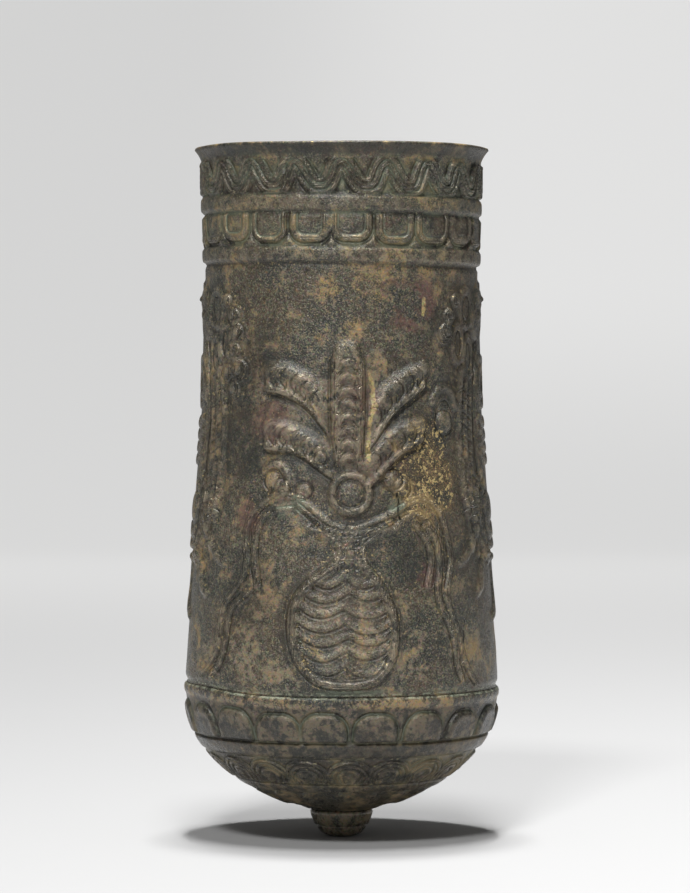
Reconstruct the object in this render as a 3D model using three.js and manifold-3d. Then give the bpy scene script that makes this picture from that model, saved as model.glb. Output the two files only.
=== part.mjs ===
// A situla: a tall, waisted beaker of raised sheet bronze on a round base with a nipple under it.
// The wall is one raised sheet. Its foot is set in by a sheet's thickness and sits in the hem of a second
// sheet, the bowl of the base. The nipple is a riveted stud: its shank passes a collar, the bowl and a rove,
// and is clenched. Both sheets carry a relief beaten up from the inside: a tree between rampant beasts,
// tongues, scrolls and a rosette.
// Millimetres, +Z up. The axis is Z, the nipple's tip is at z = 0, and the front of the relief faces -Y.
import * as THREE from "three";
import { mergeVertices } from "three/addons/utils/BufferGeometryUtils.js";
import Module from "manifold-3d";

const wasm = await Module();
wasm.setup();

// Sheet and clearances
const sheet = 1.0; // thickness of both raised sheets
const lapGap = 0.15; // between the wall's foot and the hem around it
const seatGap = 0.05; // between faces that bear on each other
const shankGap = 0.15; // around the shank in its holes

// Stud of the nipple
const tipRadius = 1.6; // the flat worn on the tip
const domeRadius = 5.0;
const domeHeight = 2.4;
const shankRadius = 1.9;
const clenchLap = 1.2; // how far the clenched head laps over the rove
const clenchHeight = 1.0;

// Rove and collar
const roveWidth = 2.55; // from its hole to its edge
const roveThickness = 0.9;
const roveMargin = 1.1; // of level floor around the rove
const collarHeight = 3.1;
const collarLap = 0.2; // how far the collar stands out past the bowl's seat
const collarStep = 0.5; // how far its foot stands out past the dome
const collarRound = 0.7;

// Bowl of the base
const hemRadius = 31.6;
const hemHeight = 2.3;
const hemSwell = 0.25; // how far the hem's face is crowned
const bowlDepth = 22.4; // from the hem's foot to the seat on the collar
const bowlShoulder = 0.45; // share of the depth over which the side stays upright
const bowlDraft = 0.4; // how far the side leans in over that share
const floorRise = 4.4; // of the underside above the seat, where it flattens out
const floorReach = 14.3; // of that flattened underside, out from the seat
const neckFlare = 2.8; // of the neck that is drawn down to the collar
const neckDrop = 1.0;

// Wall
const bellyProud = 0.15; // how far the belly stands out past the hem
const bellyDraft = 0.25;
const waistInset = 4.2; // how far the waist is drawn in from the hem
const throatFlare = 0.7; // of the throat under the lip, out from the waist
const waistHeight = 68.6; // from the hem's top to the waist
const neckHeight = 36.05; // from the waist to the lip's foot
const lapDepth = 3.5; // of the wall's foot below the hem
const joggleHeight = 1.2; // over which the wall is set in above its foot
const bellyEase = 0.24; // share of the waist's height over which the belly stays upright
const waistEase = 0.35; // share over which the waist stays upright, below and above

// Lip
const lipFlare = 1.8; // of the lip, out from the throat
const lipHeight = 5.0;
const lipRound = 0.4;

// Beads: two plain mouldings under the lip, set out downwards from it
const beadRise = 0.55;
const upperBeadDrop = 12.2; // from the lip's top to the bead's middle
const upperBeadWidth = 3.6;
const lowerBeadDrop = 22.4;
const lowerBeadWidth = 3.4;

// Relief: ridges with sunk feet and a flat crest
const reliefSink = 0.35;
const crestShare = 0.4; // width of the crest as a share of a plain ridge's
const leafCrest = 0.65; // the same of a leaf
const ridgeHalf = 0.75; // half the width of a plain ridge
const ridgeRise = 0.55;
const padRise = 0.85; // of leaves and of the beasts' bodies and heads
const bulbRise = 0.7;
const fineRise = 0.4; // of small forms

// Tree: heights are above the hem's top
const treeAxis = 2.7; // its angle from the front
const leafHalf = 3.0; // half a leaf's greatest width
const leafTip = 0.6; // width of its blunt tip as a share of the greatest
const discAside = 1.0; // angle of the disc from the tree's axis
const discLevel = 40.2;
const discRadius = 4.3;
const buttonRadius = 2.2; // of the tier on the disc
const budRadius = 2.1;
const bulbAside = -2.0; // angle of the bulb from the tree's axis
const bulbLevel = 14.1; // of the bulb's middle
const bulbHalfWidth = 20.4; // in degrees
const bulbHalfHeight = 12.5;
const bulbNeck = 0.25; // how much narrower it is above its middle

// Beasts
const haunchRadius = 5.0;
const foreArmHalf = 1.9; // half the width of the forearm
const legHalf = 1.2;
const lockHalf = 2.3; // half the width of a lock of the mane
const lockHalfLength = 3.9;
const curlRadius = 2.0; // of the curls before the locks
const curlAngle = 49.0; // from the front

// Bands of the wall, set out downwards from the lip's top
const scrollCount = 19;
const scrollTopDrop = 4.6;
const scrollFootDrop = 8.8;
const scrollHalf = 1.4; // half the width of its ribbon
const tongueCount = 20;
const tongueTopDrop = 14.0;
const tongueFootDrop = 20.0;

// Bands of the bowl, set out down its side from the hem's foot
const lobeCount = 19;
const archCount = 19;
const lobeTop = 0.9;
const lobeFoot = 6.4;
const filletMiddle = 8.6;
const filletWidth = 3.2;
const archTop = 11.2;
const archFoot = 17.6;
const ringMiddle = 20.6;
const ringWidth = 3.0;
const mouldingRise = 0.35; // of the fillet and the ring
const petalCount = 16;
const petalTop = 23.6;
const petalMargin = 0.8; // between the petals and the neck

// Facets
const sheetSegments = 36;
const nippleSegments = 20;
const bellySteps = 6;
const insideSteps = 3;
const smallSteps = 4;
const lumpSides = 6;
const leafSteps = 4;
const bulbSides = 12;
const lapSteps = 1; // of the wall's foot and of the bowl around it

// Radii that the pieces share
const holeRadius = shankRadius + shankGap;
const roveRadius = holeRadius + roveWidth;
const floorRadius = roveRadius + roveMargin;
const seatRadius = floorRadius + sheet / 2;
const collarRadius = seatRadius + collarLap;
const collarFootRadius = domeRadius + collarStep;
const neckRadius = seatRadius + neckFlare;
const footRadius = hemRadius - sheet - lapGap;
const bellyRadius = hemRadius + bellyProud;
const waistRadius = hemRadius - waistInset;
const throatRadius = waistRadius + throatFlare;
const lipRadius = throatRadius + lipFlare;

// Levels that the pieces share
const collarFoot = domeHeight + seatGap;
const collarTop = collarFoot + collarHeight;
const seat = collarTop + seatGap;
const bowlFloor = seat + sheet;
const roveFoot = bowlFloor + seatGap;
const roveTop = roveFoot + roveThickness;
const clenchFoot = roveTop + seatGap;
const hemFoot = seat + bowlDepth;
const hemTop = hemFoot + hemHeight;
const ledge = hemTop + seatGap;
const waist = hemTop + waistHeight;
const throat = waist + neckHeight;
const lipTop = throat + lipHeight;

const v2 = (r, z) => new THREE.Vector2(r, z);

// Side and underside of the bowl, from the hem's foot down to the neck
const bowlCurve = new THREE.CubicBezierCurve(
  v2(hemRadius, hemFoot),
  v2(hemRadius - bowlDraft, hemFoot - bowlShoulder * bowlDepth),
  v2(seatRadius + floorReach, seat + floorRise),
  v2(neckRadius, seat + neckDrop),
);

const bowlLength = bowlCurve.getLength();
const lapEnd = lapDepth / bowlLength; // share of the bowl's curve that the foot follows

// Outline of the wall: from belly to waist, from waist to throat, and the flare of the lip
const bellyCurve = new THREE.CubicBezierCurve(
  v2(bellyRadius, ledge),
  v2(bellyRadius - bellyDraft, ledge + bellyEase * waistHeight),
  v2(waistRadius, waist - waistEase * waistHeight),
  v2(waistRadius, waist),
);
const neckCurve = new THREE.CubicBezierCurve(
  v2(waistRadius, waist),
  v2(waistRadius, waist + waistEase * neckHeight),
  v2(throatRadius, throat - waistEase * neckHeight),
  v2(throatRadius, throat),
);
const lipCurve = new THREE.QuadraticBezierCurve(
  v2(throatRadius, throat),
  v2(throatRadius, throat + lipHeight / 2),
  v2(lipRadius, lipTop - lipRound),
);

// A point of a downward curve, moved square to it towards the vessel's inside
function insideOf(curve, share, depth) {
  const point = curve.getPoint(share);
  const along = curve.getTangent(share);
  return v2(point.x + along.y * depth, point.y - along.x * depth);
}

function insideRun(curve, depth, from, to, steps) {
  const run = [];
  for (let i = 0; i <= steps; i++) {
    run.push(insideOf(curve, from + ((to - from) * i) / steps, depth));
  }
  return run;
}

// Radius of a rising curve at a height
function radiusAt(curve, height) {
  let low = 0;
  let high = 1;
  for (let i = 0; i < 40; i++) {
    const middle = (low + high) / 2;
    if (curve.getPoint(middle).y < height) low = middle;
    else high = middle;
  }
  return curve.getPoint(low).x;
}

// Section of a moulding, as shares of its width and rise: a flat crest between two sloping sides
const mouldingSection = [[-0.5, 0], [-0.28, 1], [0.28, 1], [0.5, 0]];

// A bead of the wall
function beadRun(middle, width) {
  return mouldingSection.map(([across, lift]) => {
    const height = middle + across * width;
    return v2(radiusAt(neckCurve, height) + lift * beadRise, height);
  });
}

// A moulding of the bowl
function mouldingRun(middle, width) {
  return mouldingSection.map(([across, lift]) => {
    const share = (middle + across * width) / bowlLength;
    return insideOf(bowlCurve, share, -lift * mouldingRise);
  });
}

// Outlines of the skins that carry relief, by height on the wall and by distance down the bowl
function wallOutline(height) {
  if (height < waist) return v2(radiusAt(bellyCurve, height), height);
  if (height < throat) return v2(radiusAt(neckCurve, height), height);
  return v2(radiusAt(lipCurve, height), height);
}

function bowlOutline(drop) {
  return bowlCurve.getPoint(drop / bowlLength);
}

const nudge = 0.01; // step along a skin for its slope

// A point of a skin at an angle from the front, and the direction square to the skin there
function skinPoint(outline, angle, along) {
  const point = outline(along);
  const slope = outline(along + nudge).sub(point).normalize();
  const outward = v2(slope.y, -slope.x).multiplyScalar(Math.sign(slope.y));
  const turn = THREE.MathUtils.degToRad(angle);
  const around = (p) => new THREE.Vector3(p.x * Math.sin(turn), -p.x * Math.cos(turn), p.y);
  return { place: around(point), outward: around(outward) };
}

// A smooth line on a skin through hand-set points of angle and height
function through(points, steps) {
  const corners = points.map(([angle, along]) => new THREE.Vector3(angle, along, 0));
  return new THREE.CatmullRomCurve3(corners).getPoints(steps).map((p) => [p.x, p.y]);
}

// Does a skin's outline run upwards from a place, or down?
const upwards = (outline, along) => outline(along + nudge).y > outline(along).y;

// A ridge beaten up along a line on a skin. The half width can change with the share of its length.
function ridge(outline, line, half, rise, closed = false, crest = crestShare) {
  const count = line.length;
  const section = [[-1, -reliefSink], [-crest, rise], [crest, rise], [1, -reliefSink]];
  const halfAt = typeof half === "function" ? half : () => half;
  const corners = [];
  line.forEach(([angle, along], i) => {
    const before = line[closed ? (i + count - 1) % count : Math.max(i - 1, 0)];
    const after = line[closed ? (i + 1) % count : Math.min(i + 1, count - 1)];
    const turn = THREE.MathUtils.euclideanModulo(after[0] - before[0] + 180, 360) - 180;
    const degree = THREE.MathUtils.degToRad(outline(along).x); // length of a degree around the skin
    const heading = v2(turn * degree, after[1] - before[1]).normalize();
    const width = halfAt(i / (count - 1)) * (upwards(outline, along) ? 1 : -1);
    section.forEach(([across, lift]) => {
      const aside = across * width;
      const around = angle + (aside * heading.y) / degree;
      const { place, outward } = skinPoint(outline, around, along - aside * heading.x);
      place.addScaledVector(outward, lift);
      corners.push(place.x, place.y, place.z);
    });
  });
  const faces = [];
  const links = closed ? count : count - 1;
  for (let i = 0; i < links; i++) {
    const here = 4 * i;
    const next = 4 * ((i + 1) % count);
    for (let k = 0; k < 4; k++) {
      const other = (k + 1) % 4;
      faces.push(here + k, here + other, next + other, here + k, next + other, next + k);
    }
  }
  if (!closed) {
    const last = 4 * (count - 1);
    faces.push(0, 2, 1, 0, 3, 2);
    faces.push(last, last + 1, last + 2, last, last + 2, last + 3);
  }
  return solid(new Float32Array(corners), new Uint32Array(faces));
}

// Rings of a boss between its foot and its middle, as shares of the way out and of the rise
const crownedRings = [[0.75, 0.75]];
const broadRings = [[0.82, 0.85], [0.42, 1]];

// A low boss beaten up inside a closed line on a skin: sunk foot, sloping sides and a crowned top
function boss(outline, points, rise, rings = crownedRings) {
  const anticlockwise = THREE.ShapeUtils.area(points.map(([angle, along]) => v2(angle, along))) > 0;
  const line = upwards(outline, points[0][1]) === anticlockwise ? points : [...points].reverse();
  const count = line.length;
  const middle = [0, 1].map((k) => line.reduce((sum, point) => sum + point[k], 0) / count);
  const corners = [];
  const add = (share, lift) => ([angle, along]) => {
    const at = [angle, along].map((value, k) => middle[k] + (value - middle[k]) * share);
    const { place, outward } = skinPoint(outline, ...at);
    place.addScaledVector(outward, lift);
    corners.push(place.x, place.y, place.z);
  };
  line.forEach(add(1, -reliefSink));
  rings.forEach(([share, lift]) => line.forEach(add(share, lift * rise)));
  add(0, rise)(middle);
  add(0, -reliefSink)(middle);
  const inner = rings.length * count; // first corner of the innermost ring
  const top = inner + count;
  const under = top + 1;
  const faces = [];
  for (let i = 0; i < count; i++) {
    const j = (i + 1) % count;
    for (let ring = 0; ring < inner; ring += count) {
      faces.push(ring + i, ring + j, ring + count + j, ring + i, ring + count + j, ring + count + i);
    }
    faces.push(inner + i, inner + j, top);
    faces.push(j, i, under);
  }
  return solid(new Float32Array(corners), new Uint32Array(faces));
}

// Conversions between solids that can be joined and geometry that can be shown
function solid(vertProperties, triVerts) {
  return new wasm.Manifold(new wasm.Mesh({ numProp: 3, vertProperties, triVerts }));
}

function solidOf(geometry) {
  geometry.deleteAttribute("normal");
  geometry.deleteAttribute("uv");
  const merged = mergeVertices(geometry);
  return solid(merged.attributes.position.array, new Uint32Array(merged.index.array));
}

function joined(geometry, ridges) {
  const whole = ridges.reduce((sum, one) => sum.add(one), solidOf(geometry));
  const { vertProperties, triVerts } = whole.getMesh();
  const result = new THREE.BufferGeometry();
  result.setAttribute("position", new THREE.BufferAttribute(vertProperties, 3));
  result.setIndex(new THREE.BufferAttribute(triVerts, 1));
  result.computeVertexNormals();
  return result;
}

// A closed profile, in order round the section, turned about Z
function turned(profile, segments) {
  const closed = [...profile, profile[0]];
  return new THREE.LatheGeometry(closed, segments).rotateX(Math.PI / 2);
}

function mesh(name, geometry, material) {
  const made = new THREE.Mesh(geometry, material);
  made.name = name;
  return made;
}

// Wall sheet
function wallGeometry() {
  const belly = bellyCurve.getPoints(insideSteps);
  const outside = [
    ...insideRun(bowlCurve, sheet + lapGap, lapEnd, 0, lapSteps),
    v2(footRadius, ledge),
    ...bellyCurve.getPoints(bellySteps),
    ...beadRun(lipTop - lowerBeadDrop, lowerBeadWidth),
    ...beadRun(lipTop - upperBeadDrop, upperBeadWidth),
    ...lipCurve.getPoints(insideSteps),
    v2(lipRadius - lipRound, lipTop),
  ];
  const inside = [
    v2(lipRadius - sheet - lipRound, lipTop),
    v2(throatRadius - sheet + lipRound, throat + lipHeight / 2),
    v2(throatRadius - sheet, throat),
    ...belly.reverse().slice(0, -1).map((point) => v2(point.x - sheet, point.y)),
    v2(bellyRadius - sheet, ledge + joggleHeight),
    v2(footRadius - sheet, ledge - joggleHeight / 2),
    ...insideRun(bowlCurve, 2 * sheet + lapGap, 0, lapEnd, lapSteps),
  ];
  return turned([...outside, ...inside], sheetSegments);
}

// Upper scrolls: one broad ribbon that waves on around the throat, with narrow crests and wide hollows
function scrollRidge() {
  const wave = [[0.1, 1], [0.32, 0], [0.68, 0], [0.9, 1]];
  const foot = lipTop - scrollFootDrop;
  const height = scrollFootDrop - scrollTopDrop;
  const line = [];
  for (let i = 0; i < scrollCount; i++) {
    wave.forEach(([u, v]) => line.push([(360 * (i + u)) / scrollCount, foot + v * height]));
  }
  return ridge(wallOutline, line, scrollHalf, fineRise, true);
}

// A row of tongues around a skin, as bosses: square at one level and round at the other
function tongueRow(outline, count, square, round) {
  const tongue = [[-0.42, 1], [-0.42, 0.35], [-0.22, 0.02], [0.22, 0.02], [0.42, 0.35], [0.42, 1]];
  const row = [];
  for (let i = 0; i < count; i++) {
    const line = tongue.map(([u, v]) => [(360 * (i + u)) / count, round + v * (square - round)]);
    row.push(boss(outline, line, ridgeRise));
  }
  return row;
}

// A round boss on the wall
function roundBoss(angle, height, radius, rise, sides) {
  const width = THREE.MathUtils.radToDeg(radius / wallOutline(height).x);
  const line = [];
  for (let i = 0; i < sides; i++) {
    const turn = (2 * Math.PI * i) / sides;
    line.push([angle + width * Math.cos(turn), height + radius * Math.sin(turn)]);
  }
  return boss(wallOutline, line, rise);
}

// Half the width of a leaf at a share of its length: narrow at its root, broad and blunt at its end
function leafWidth(share) {
  return leafHalf * Math.max(leafTip, 1.3 * Math.sqrt((share + 0.1) * (1 - share ** 6)));
}

// Outline of the bulb at the foot of a tree: an egg with its narrow end up
function bulbOutline() {
  const line = [];
  for (let i = 0; i < bulbSides; i++) {
    const turn = (2 * Math.PI * (i + 0.5)) / bulbSides;
    const width = bulbHalfWidth * (1 - bulbNeck * Math.max(0, Math.cos(turn)));
    line.push([bulbAside + width * Math.sin(turn), bulbLevel + bulbHalfHeight * Math.cos(turn)]);
  }
  return line;
}

// The tree on one side of the vessel, or its mirror image. Heights are above the hem's top.
function treeRelief(axis, mirror) {
  const relief = [];
  const placed = ([angle, height]) => [axis + mirror * angle, hemTop + height];
  const add = (points, steps, half, rise) => {
    relief.push(ridge(wallOutline, through(points.map(placed), steps), half, rise));
  };
  const leaf = (points) => {
    const line = through(points.map(placed), leafSteps);
    relief.push(ridge(wallOutline, line, leafWidth, padRise, false, leafCrest));
  };
  const lump = (angle, height, radius, rise) => {
    relief.push(roundBoss(...placed([angle, height]), radius, rise, lumpSides));
  };

  // Disc in two tiers, and the middle leaf
  lump(discAside, discLevel, discRadius, ridgeRise);
  lump(discAside, discLevel, buttonRadius, padRise);
  leaf([[0, 46.2], [0, 58], [0, 69.9]]);

  // Bulb, its raised rim and the trunk over it
  const bulb = bulbOutline().map(placed);
  relief.push(boss(wallOutline, bulb, bulbRise, broadRings));
  relief.push(ridge(wallOutline, bulb, ridgeHalf, bulbRise, true));
  for (const side of [-1, 1]) {
    const sided = ([angle, height]) => [side * angle, height];
    add([[17, 34], [7, 31.6], [4.8, 28.6], [7, 26.4]].map(sided), 4, ridgeHalf, ridgeRise);
    leaf([[7.6, 53.4], [18.5, 60.8], [35, 63.2]].map(sided));
    leaf([[7.2, 44.8], [20.5, 50.3], [34, 51.8]].map(sided));

    // Streams that fall from the saucer under the disc
    const outer = [[0, 33.6], [16, 36.8], [27, 39.3], [40, 35], [42.6, 27], [47, 14], [57, 2.8]];
    const inner = [[22, 36.2], [33, 34.4], [37.6, 27], [40, 18.5], [45, 10], [50, 2.8]];
    add(outer.map(sided), 7, ridgeHalf, fineRise);
    add(inner.map(sided), 4, ridgeHalf, fineRise);
  }

  // Buds beside the leaves
  for (const [angle, height] of [[44.3, 54.1], [-30.5, 42.8], [-17.5, 40.8], [18, 43], [22.2, 41.2]]) {
    lump(angle, height, budRadius, ridgeRise);
  }
  return relief;
}

// A rampant beast that faces the tree in front, on the left or right side
function beastRelief(side) {
  const relief = [];
  const placed = ([angle, height]) => [side * angle, hemTop + height];
  const add = (points, steps, half, rise) => {
    relief.push(ridge(wallOutline, through(points.map(placed), steps), half, rise));
  };
  const lump = (angle, height, radius, rise) => {
    relief.push(roundBoss(...placed([angle, height]), radius, rise, lumpSides));
  };
  const form = (points, rise) => {
    relief.push(boss(wallOutline, points.map(placed), rise, broadRings));
  };

  // Body from shoulder to haunch along the back, then up along the breast
  const back = [[76, 71], [83, 73.5], [90, 68], [95, 55], [99, 41], [97, 30]];
  const breast = [[82, 29], [75, 38], [72, 50], [71, 62]];
  form([...back, ...breast], padRise);
  lump(85, 36, haunchRadius, padRise + fineRise);

  // Head with its muzzle towards the tree
  form([[68.5, 72.5], [71, 77.5], [76, 81.2], [83, 81.6], [89, 78], [88.5, 72], [79, 70]], padRise);

  // Horn, locks and curls
  add([[87, 79], [93, 82], [100, 79.6], [104, 74], [104.5, 67]], 4, ridgeHalf, ridgeRise);
  for (const [angle, height] of [[64, 77], [57, 70], [66, 67.4]]) {
    add([[angle, height - lockHalfLength], [angle, height + lockHalfLength]], 1, lockHalf, ridgeRise);
  }
  for (const height of [68.2, 72.2, 75.6]) {
    lump(curlAngle, height, curlRadius, ridgeRise);
  }

  // Forearm and paw, hind legs and tail
  add([[61.7, 64], [59, 56], [58.6, 47], [61.5, 35.5]], 4, foreArmHalf, ridgeRise);
  add([[66.5, 33.7], [58, 28.6], [51, 26.3]], 3, legHalf, ridgeRise);
  add([[79, 28.7], [70, 26.4], [67, 21.6], [62.5, 20.1]], 4, legHalf, ridgeRise);
  add([[90, 26.7], [92, 21.7], [88, 16.8], [82, 15.2]], 4, legHalf, ridgeRise);
  add([[98, 39.7], [106, 45.7], [111, 40], [104.5, 30], [106.5, 23.7]], 5, ridgeHalf, ridgeRise);
  return relief;
}

// Petals of the rosette under the bowl
function petalRow() {
  const petal = [[0, 0.05], [0.4, 0.4], [0.36, 1], [-0.36, 1], [-0.4, 0.4]];
  const length = bowlLength - petalMargin - petalTop;
  const row = [];
  for (let i = 0; i < petalCount; i++) {
    const line = petal.map(([u, v]) => [(360 * (i + u)) / petalCount, petalTop + v * length]);
    row.push(boss(bowlOutline, line, fineRise));
  }
  return row;
}

// Bowl sheet
function bowlGeometry() {
  const bowlRun = [
    bowlOutline(0),
    bowlOutline(lobeFoot / 2),
    ...mouldingRun(filletMiddle, filletWidth),
    bowlOutline((filletMiddle + ringMiddle) / 2),
    ...mouldingRun(ringMiddle, ringWidth),
    bowlOutline((petalTop + bowlLength) / 2),
    bowlOutline(bowlLength),
  ];
  const inside = [
    v2(hemRadius - sheet, hemTop),
    ...insideRun(bowlCurve, sheet, 0, lapEnd, lapSteps),
    ...insideRun(bowlCurve, sheet, lapEnd, 1, smallSteps).slice(1),
    v2(floorRadius, bowlFloor),
    v2(holeRadius, bowlFloor),
  ];
  const outside = [
    v2(holeRadius, seat),
    v2(seatRadius, seat),
    ...bowlRun.reverse(),
    v2(hemRadius + hemSwell, hemFoot + hemHeight / 3),
    v2(hemRadius + hemSwell, hemTop - hemHeight / 3),
    v2(hemRadius - hemSwell, hemTop),
  ];
  return turned([...inside, ...outside], sheetSegments);
}

// Collar under the bowl
function collarGeometry() {
  const profile = [
    v2(holeRadius, collarFoot),
    v2(collarFootRadius, collarFoot),
    v2(collarRadius, collarTop - collarRound),
    v2(collarRadius - collarRound / 3, collarTop - collarRound / 3),
    v2(collarRadius - collarRound, collarTop),
    v2(holeRadius, collarTop),
  ];
  return turned(profile, nippleSegments);
}

// Stud: the domed nipple, its shank and the head clenched over the rove
function studGeometry() {
  const domeWidth = domeRadius - tipRadius;
  const clenchRadius = shankRadius + clenchLap;
  const dome = new THREE.EllipseCurve(tipRadius, domeHeight, domeWidth, domeHeight, -Math.PI / 2, 0);
  const clench = new THREE.EllipseCurve(0, clenchFoot, clenchRadius, clenchHeight, 0, Math.PI / 2);
  const profile = [
    v2(0, 0),
    ...dome.getPoints(smallSteps + 2),
    v2(shankRadius, domeHeight),
    v2(shankRadius, clenchFoot),
    ...clench.getPoints(smallSteps).slice(0, -1),
    v2(0, clenchFoot + clenchHeight),
  ];
  return new THREE.LatheGeometry(profile, nippleSegments).rotateX(Math.PI / 2);
}

// Rove: the washer inside the bowl that the shank is clenched over
function roveGeometry() {
  const profile = [
    v2(holeRadius, roveFoot),
    v2(roveRadius, roveFoot),
    v2(roveRadius, roveTop),
    v2(holeRadius, roveTop),
  ];
  return turned(profile, nippleSegments);
}

const bronze = (color, roughness) =>
  new THREE.MeshStandardMaterial({ color, roughness, metalness: 0.6 });
const darkBronze = bronze(0x4a4238, 0.5);
const brownBronze = bronze(0x54473a, 0.5);
const nippleBronze = bronze(0x3b352c, 0.45);

const wallRelief = [
  scrollRidge(),
  ...tongueRow(wallOutline, tongueCount, lipTop - tongueTopDrop, lipTop - tongueFootDrop),
  ...treeRelief(treeAxis, 1),
  ...treeRelief(180 - treeAxis, -1),
  ...beastRelief(-1),
  ...beastRelief(1),
];
const bowlRelief = [
  ...tongueRow(bowlOutline, lobeCount, lobeFoot, lobeTop),
  ...tongueRow(bowlOutline, archCount, archFoot, archTop),
  ...petalRow(),
];

const situla = new THREE.Group();
situla.name = "situla";
situla.add(
  mesh("wall", joined(wallGeometry(), wallRelief), darkBronze),
  mesh("base_bowl", joined(bowlGeometry(), bowlRelief), brownBronze),
  mesh("nipple_collar", collarGeometry(), nippleBronze),
  mesh("nipple_stud", studGeometry(), nippleBronze),
  mesh("rove", roveGeometry(), nippleBronze),
);

export default situla;
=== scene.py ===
# %% [markdown]
# A situla is a bronze beaker, here a tall waisted one on a round base with a nipple under it. It is two
# sheets of bronze, raised with hammers from flat discs and fitted foot in hem, and one riveted stud. A
# relief was then beaten up from the inside and chased from the outside. This lesson does the same things in
# order: blanks are turned, lines are drawn on them, the forms are pushed out and chased in, and the metal
# is aged.

# %% Load the fixed frame
import math

import bpy
import numpy as np
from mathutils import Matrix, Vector


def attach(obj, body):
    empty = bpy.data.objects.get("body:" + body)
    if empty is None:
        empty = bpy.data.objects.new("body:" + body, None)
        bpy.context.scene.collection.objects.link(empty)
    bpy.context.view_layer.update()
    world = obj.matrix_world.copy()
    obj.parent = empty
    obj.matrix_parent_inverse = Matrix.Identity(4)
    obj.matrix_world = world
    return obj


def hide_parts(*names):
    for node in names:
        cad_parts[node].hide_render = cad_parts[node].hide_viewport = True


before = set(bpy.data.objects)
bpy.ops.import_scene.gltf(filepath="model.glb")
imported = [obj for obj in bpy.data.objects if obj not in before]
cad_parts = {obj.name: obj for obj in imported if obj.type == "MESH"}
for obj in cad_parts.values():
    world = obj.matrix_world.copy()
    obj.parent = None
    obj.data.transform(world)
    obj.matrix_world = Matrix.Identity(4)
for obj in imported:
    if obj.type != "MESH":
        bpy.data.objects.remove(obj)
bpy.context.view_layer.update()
scene = bpy.context.scene
scene.view_settings.view_transform = "Standard"
mm = 0.001

# %% [markdown]
# The photograph was taken with a long lens from a little above the middle of the vessel. A long lens keeps
# the sides nearly parallel, so the lip shows as almost a straight line. The camera stands in front, on -Y.

# %% Camera
bpy.ops.object.select_all(action="DESELECT")
camera_place = Vector((0.0007, -0.801, 0.0942))
aim = Vector((0.0007, 0.0, 0.0793))
bpy.ops.object.camera_add(location=camera_place)
camera = bpy.context.object
camera.name = "camera"
camera.data.sensor_width = 36.0
camera.data.lens = 158.7
camera.rotation_euler = (aim - camera.location).to_track_quat("-Z", "Y").to_euler()
scene.camera = camera
print("camera to vessel:", round(camera.location.length, 3), "m")

# %% [markdown]
# The vessel stands on a pale sweep of board: a floor that curves up into a backdrop, so that no corner
# shows. It starts as a plane. Its back edge is pulled up into a wall, and the corner between them is
# bevelled round.

# %% Floor and backdrop
floor_size = 5.0
wall_height = 2.4
sweep_radius = 1.2
sweep_steps = 24
close = 1e-6
bpy.ops.mesh.primitive_plane_add(size=floor_size, location=(0.0, 0.0, 0.0))
sweep = bpy.context.object
sweep.name = "studio_sweep"
bpy.ops.object.mode_set(mode="EDIT")
bpy.ops.mesh.select_all(action="DESELECT")
bpy.ops.mesh.select_mode(type="EDGE")
bpy.ops.object.mode_set(mode="OBJECT")
back = floor_size / 2
for edge in sweep.data.edges:
    edge.select = all(abs(sweep.data.vertices[i].co.y - back) < close for i in edge.vertices)
bpy.ops.object.mode_set(mode="EDIT")
bpy.ops.mesh.extrude_region_move(TRANSFORM_OT_translate={"value": (0.0, 0.0, wall_height)})
bpy.ops.object.mode_set(mode="OBJECT")
for edge in sweep.data.edges:
    ends = [sweep.data.vertices[i].co for i in edge.vertices]
    edge.select = all(abs(p.y - back) < close and abs(p.z) < close for p in ends)
bpy.ops.object.mode_set(mode="EDIT")
bpy.ops.mesh.bevel(offset=sweep_radius, segments=sweep_steps, affect="EDGES")
bpy.ops.mesh.select_all(action="SELECT")
bpy.ops.mesh.normals_make_consistent(inside=False)
bpy.ops.object.mode_set(mode="OBJECT")
bpy.ops.object.shade_smooth()
print("studio sweep:", len(sweep.data.polygons), "faces")

# %% [markdown]
# Small helpers for materials. A node is added with its settings and inputs in one call, where an input is
# either a plain value or the output of another node.


# %% Node helpers
def add_node(tree, kind, inputs=None, **settings):
    made = tree.nodes.new(kind)
    for name, value in settings.items():
        setattr(made, name, value)
    for name, value in (inputs or {}).items():
        if isinstance(value, bpy.types.NodeSocket):
            tree.links.new(value, made.inputs[name])
        else:
            made.inputs[name].default_value = value
    return made


def math_node(tree, operation, first, second=0.0, clamp=False):
    made = add_node(tree, "ShaderNodeMath", {0: first, 1: second}, operation=operation, use_clamp=clamp)
    return made.outputs[0]


def remap(tree, value, low, high):
    """0 at the low value, 1 at the high one, and smooth between them."""
    inputs = {"Value": value, "From Min": low, "From Max": high}
    return add_node(tree, "ShaderNodeMapRange", inputs, interpolation_type="SMOOTHSTEP").outputs["Result"]


def blend(tree, share, under, over, kind="MIX"):
    """A mix of two colours. Inputs 6 and 7 and output 2 are those of the node's colour mode."""
    inputs = {"Factor": share, 6: under, 7: over}
    made = add_node(tree, "ShaderNodeMix", inputs, data_type="RGBA", blend_type=kind, clamp_factor=True)
    return made.outputs[2]


def new_material(name):
    made = bpy.data.materials.new(name)
    made.use_nodes = True
    return made, made.node_tree, made.node_tree.nodes["Principled BSDF"]
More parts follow.
